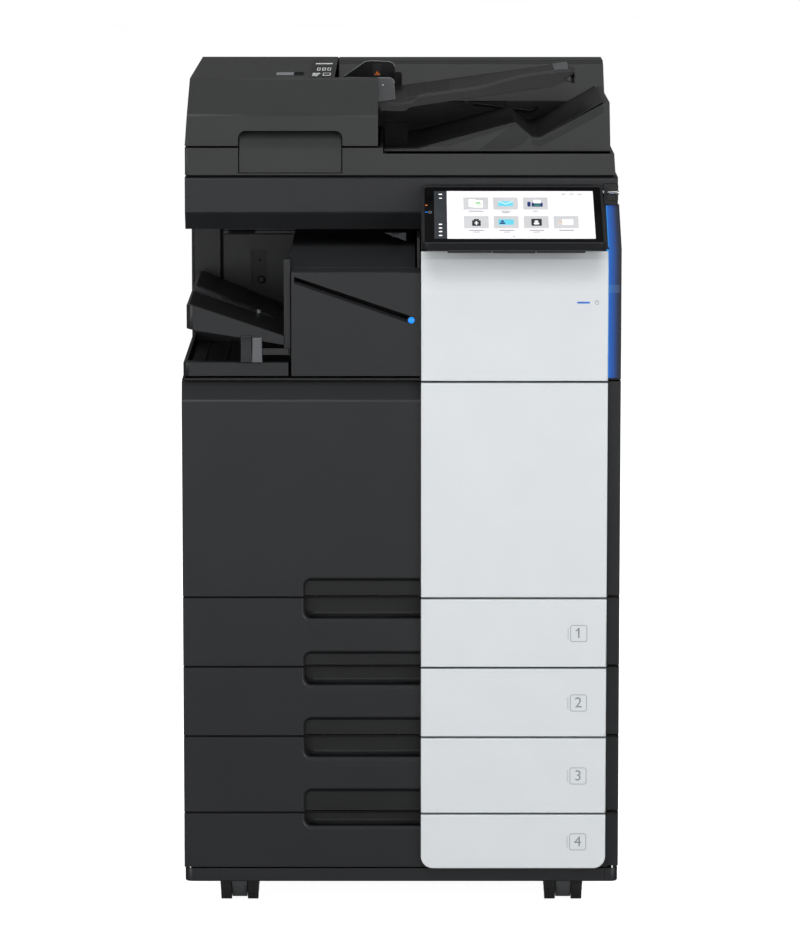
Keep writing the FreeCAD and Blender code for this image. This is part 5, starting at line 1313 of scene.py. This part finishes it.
def makeLowerDetails():
    low, high = boxOf("skirt")
    bm = bmesh.new()
    brick(bm, (288.2, 289), (low.y - 0.1, low.y + 1), (low.z + 2, high.z - 1))
    piece("skirt_seam", bm, "root", "inner_black", blackFoamAndShade, edge=0)
    low, high = boxOf("side_door")
    face = high.x
    bm = bmesh.new()
    frameOutline(bm, rounded(-45, 45, high.z - 30, high.z - 14, 4), rounded(-43, 43, high.z - 28,
                 high.z - 16, 3), "x", face - 1.5, face + 0.4)
    piece("side_door_grip_rim", bm, "side_door", "dark_shell", slateAndHighlightAbs, edge=0)
    # the black back of the grip pocket: painted shade
    bm = bmesh.new()
    brick(bm, (face - 8.6, face - 7.6), (-43, 43), (high.z - 28, high.z - 16))
    piece("side_door_grip_back", bm, "side_door", "inner_black", blackFoamAndShade, edge=0)
    bm = bmesh.new()
    for k in range(9):
        y = low.y + 70 + 28 * k
        brick(bm, (low.x - 3.5, low.x + 0.5), (y, y + 2), (330, 480))
    brick(bm, (low.x - 3.5, low.x + 0.5), (low.y + 66, low.y + 300), (482, 484.5))
    piece("side_door_sheet_ribs", bm, "side_door", "inner_black", blackAbs, edge=0.4)
    bm = bmesh.new()
    for y in (low.y + 120, low.y + 230):
        turned(bm, [(4.5, y - 14), (5.5, y - 13), (5.5, y + 13), (4.5, y + 14)], "y", low.x - 3.4, 500)
    piece("side_door_rollers", bm, "side_door", "roller_rubber", feedRubber, edge=0)
    low, high = boxOf("bypass_tray")
    bm = bmesh.new()
    for k in range(6):
        y = low.y + 40 + 48 * k
        brick(bm, (low.x - 0.9, low.x + 0.3), (y, y + 2.4), (low.z + 16, high.z - 22))
    piece("bypass_tray_ribs", bm, "bypass_tray", "dark_shell", charcoalAbs, edge=0.3)
    bm = bmesh.new()
    frameOutline(bm, rounded(-30, 30, high.z - 17, high.z - 2, 3), rounded(-28.5, 28.5, high.z - 15.5,
                 high.z - 3.5, 2), "x", high.x - 1, high.x + 0.5)
    piece("bypass_grip_rim", bm, "bypass_tray", "dark_shell", slateAndHighlightAbs, edge=0)
    bm = bmesh.new()
    prism(bm, rounded(low.y + 10, high.y - 10, low.z + 8, high.z - 26, 5), "x", high.x - 0.2,
          high.x + 0.35)
    piece("bypass_outer_panel", bm, "bypass_tray", "dark_shell", charcoalAbs, edge=0.2)


# Caster details: hub caps and axle ends, a rubber tread line.

def makeCasterDetails():
    for corner in ("front_left", "front_right", "rear_left", "rear_right"):
        low, high = boxOf("wheels_" + corner)
        middle = (low + high) / 2
        radius = (high.z - low.z) / 2
        bm = bmesh.new()
        for x, out in ((low.x, -1), (high.x, 1)):
            turned(bm, [(radius * 0.62, x + out * -0.3), (radius * 0.62, x + out * 0.5),
                        (radius * 0.5, x + out * 0.9), (radius * 0.2, x + out * 1.2),
                        (radius * 0.18, x + out * 1.6), (1, x + out * 1.7)], "x", middle.y, middle.z, 32)
        piece("hub_caps_" + corner, bm, "wheels_" + corner, "caster_grey", greyNylon, edge=0)
        bm = bmesh.new()
        for x in (low.x + 3, high.x - 3):
            turned(bm, [(radius + 0.04, x - 0.5), (radius + 0.1, x), (radius + 0.04, x + 0.5)], "x",
                   middle.y, middle.z, 40)
        piece("tread_lines_" + corner, bm, "wheels_" + corner, "caster_wheel", feedRubber, edge=0)


makeSides()
makeRear()
makeLowerDetails()
makeCasterDetails()
print("stage: outside details")


# Inside the paper trays: lift plate, side guides, end stop and a stack of sheets.

paperTray = {"sheetLong": 297, "sheetWide": 210, "stack": (26, 34, 40, 22), "guideWide": 4}


def makeTrayInsides():
    p = paperTray
    for i in range(4):
        low, high = boxOf(f"tray_{i + 1}")
        floor = low.z + 14
        top = high.z - 12
        x0, x1 = low.x + 60, high.x - 70
        y0, y1 = low.y + 62, high.y - 40
        body = f"tray_{i + 1}"
        bm = bmesh.new()
        brick(bm, (x0, x1), (y0, y1), (floor, floor + 1.4))
        for k in range(4):
            x = x0 + 30 + (x1 - x0 - 60) * k / 3
            brick(bm, (x - 2, x + 2), (y0 + 8, y1 - 8), (floor + 1.2, floor + 2.4))
        piece(f"lift_plate_{i + 1}", bm, body, "galvanised_steel", galvanised, edge=0.4)
        stack = min(p["stack"][i], top - floor - 8)
        bm = bmesh.new()
        xm, ym = (x0 + x1) / 2, (y0 + y1) / 2
        levels = [floor + 2.4 + stack * k / 6 for k in range(7)]
        offset = (0, 0.3, -0.2, 0.25, -0.1, 0.2, 0)
        long, wide = p["sheetLong"] / 2, p["sheetWide"] / 2
        strip(bm, [[(xm - long + d, ym - wide - d, z), (xm + long + d, ym - wide + d, z),
                    (xm + long - d, ym + wide + d, z), (xm - long - d, ym + wide - d, z)]
                   for z, d in zip(levels, offset)])
        piece(f"paper_stack_{i + 1}", bm, body, "white_shell", copyPaper, edge=0)
        bm = bmesh.new()
        for y in (ym - wide - 7, ym + wide + 3):
            prism(bm, [(xm - 40, floor + 1), (xm + 40, floor + 1), (xm + 34, top - 4),
                       (xm - 34, top - 4)], "y", y, y + p["guideWide"])
            brick(bm, (xm - 12, xm + 12), (y - 6, y + 10), (floor + 1, floor + 4))
        brick(bm, (xm + long + 2, xm + long + 8), (ym - 22, ym + 22), (floor + 1, top - 4))
        piece(f"side_guides_{i + 1}", bm, body, "caster_grey", greyNylon, edge=0.8)


# Platen: size marks on the left rule. Under the feeder: the strip behind a scanned sheet.

def makePlaten():
    low, high = boxOf("platen_glass")
    bm = bmesh.new()
    brick(bm, (-226, -216.4), (low.y + 4, high.y - 4), (high.z - 0.3, high.z + 0.25))
    piece("size_rule", bm, "root", "white_shell", whiteInk, edge=0)
    bm = bmesh.new()
    for k in range(15):
        y = high.y - 12 - 19 * k
        length = 6 if k % 2 == 0 else 3.5
        brick(bm, (-217 - length, -217), (y, y + 0.6), (high.z + 0.2, high.z + 0.36))
    prism(bm, [(-225, high.y - 5), (-219, high.y - 5), (-222, high.y - 10)], "z", high.z + 0.2,
          high.z + 0.36)
    piece("size_rule_marks", bm, "root", "inner_black", blackPp, edge=0)
    pad = boxOf("platen_pad")
    bm = bmesh.new()
    brick(bm, (-258, -228), (pad[0].y + 4, pad[1].y - 4), (pad[1].z - 2.4, pad[1].z + 0.2))
    piece("scan_backing", bm, "feeder", "platen_pad", foamPad, edge=0.4)


# Toner bottles: coloured end caps with a grip bar, in black collars.

def makeToner():
    caps = {"yellow": yellowPp, "magenta": magentaPp, "cyan": cyanPp, "black": blackPp}
    for name, material in caps.items():
        low, high = boxOf("toner_" + name)
        middle = (low + high) / 2
        y = low.y
        bm = bmesh.new()
        prism(bm, rounded(middle.x - 20, middle.x + 20, low.z + 18, high.z - 18, 9), "y", y + 7.6,
              y + 10.6)
        brick(bm, (middle.x - 16, middle.x + 16), (y - 1.2, y + 1), (high.z - 58, high.z - 42))
        piece("toner_cap_" + name, bm, "root", "toner_" + name, material, edge=1.2)
        bm = bmesh.new()
        frameOutline(bm, rounded(middle.x - 25.5, middle.x + 25.5, low.z + 2, high.z - 2, 13),
                     rounded(middle.x - 22, middle.x + 22, low.z + 6, high.z - 6, 10), "y",
                     y + 8.6, y + 11.4)
        piece("toner_collar_" + name, bm, "root", "inner_black", blackAbs, edge=0.3)


# Inside the front door: stiffening ribs. Behind it: the waste box handle and the fuser lever.

greenPp = mouldedPlastic("polypropylene_green", "#2f8f57", "#379a61", 0.4, 1.49, 3, 0.03)


def makeDoorInsides():
    low, high = boxOf("front_door")
    back = high.y
    bm = bmesh.new()
    for k in range(6):
        x = low.x + 60 + 84 * k
        brick(bm, (x, x + 2.4), (back - 0.6, back + 5), (low.z + 60, high.z - 30))
    for z in (low.z + 60, (low.z + high.z) / 2, high.z - 32):
        brick(bm, (low.x + 60, low.x + 482), (back - 0.6, back + 4), (z, z + 2.4))
    piece("door_ribs", bm, "front_door", "inner_black", blackAbs, edge=0.5)
    low, high = boxOf("waste_toner_box")
    bm = bmesh.new()
    wire(bm, [(-60, low.y + 1, 592), (-60, low.y - 3, 592), (20, low.y - 3, 592),
              (20, low.y + 1, 592)], 2.4)
    piece("waste_box_handle", bm, "root", "caster_grey", greyNylon, edge=0)
    low, high = boxOf("fuser_unit")
    middle = (low + high) / 2
    bm = bmesh.new()
    prism(bm, rounded(middle.x - 12, middle.x + 12, middle.z - 30, middle.z + 30, 6), "y", low.y - 3,
          low.y + 0.5)
    piece("fuser_lever", bm, "root", "caster_wheel", greenPp, edge=1)


makeTrayInsides()
makePlaten()
makeToner()
makeDoorInsides()
print("stage: insides")
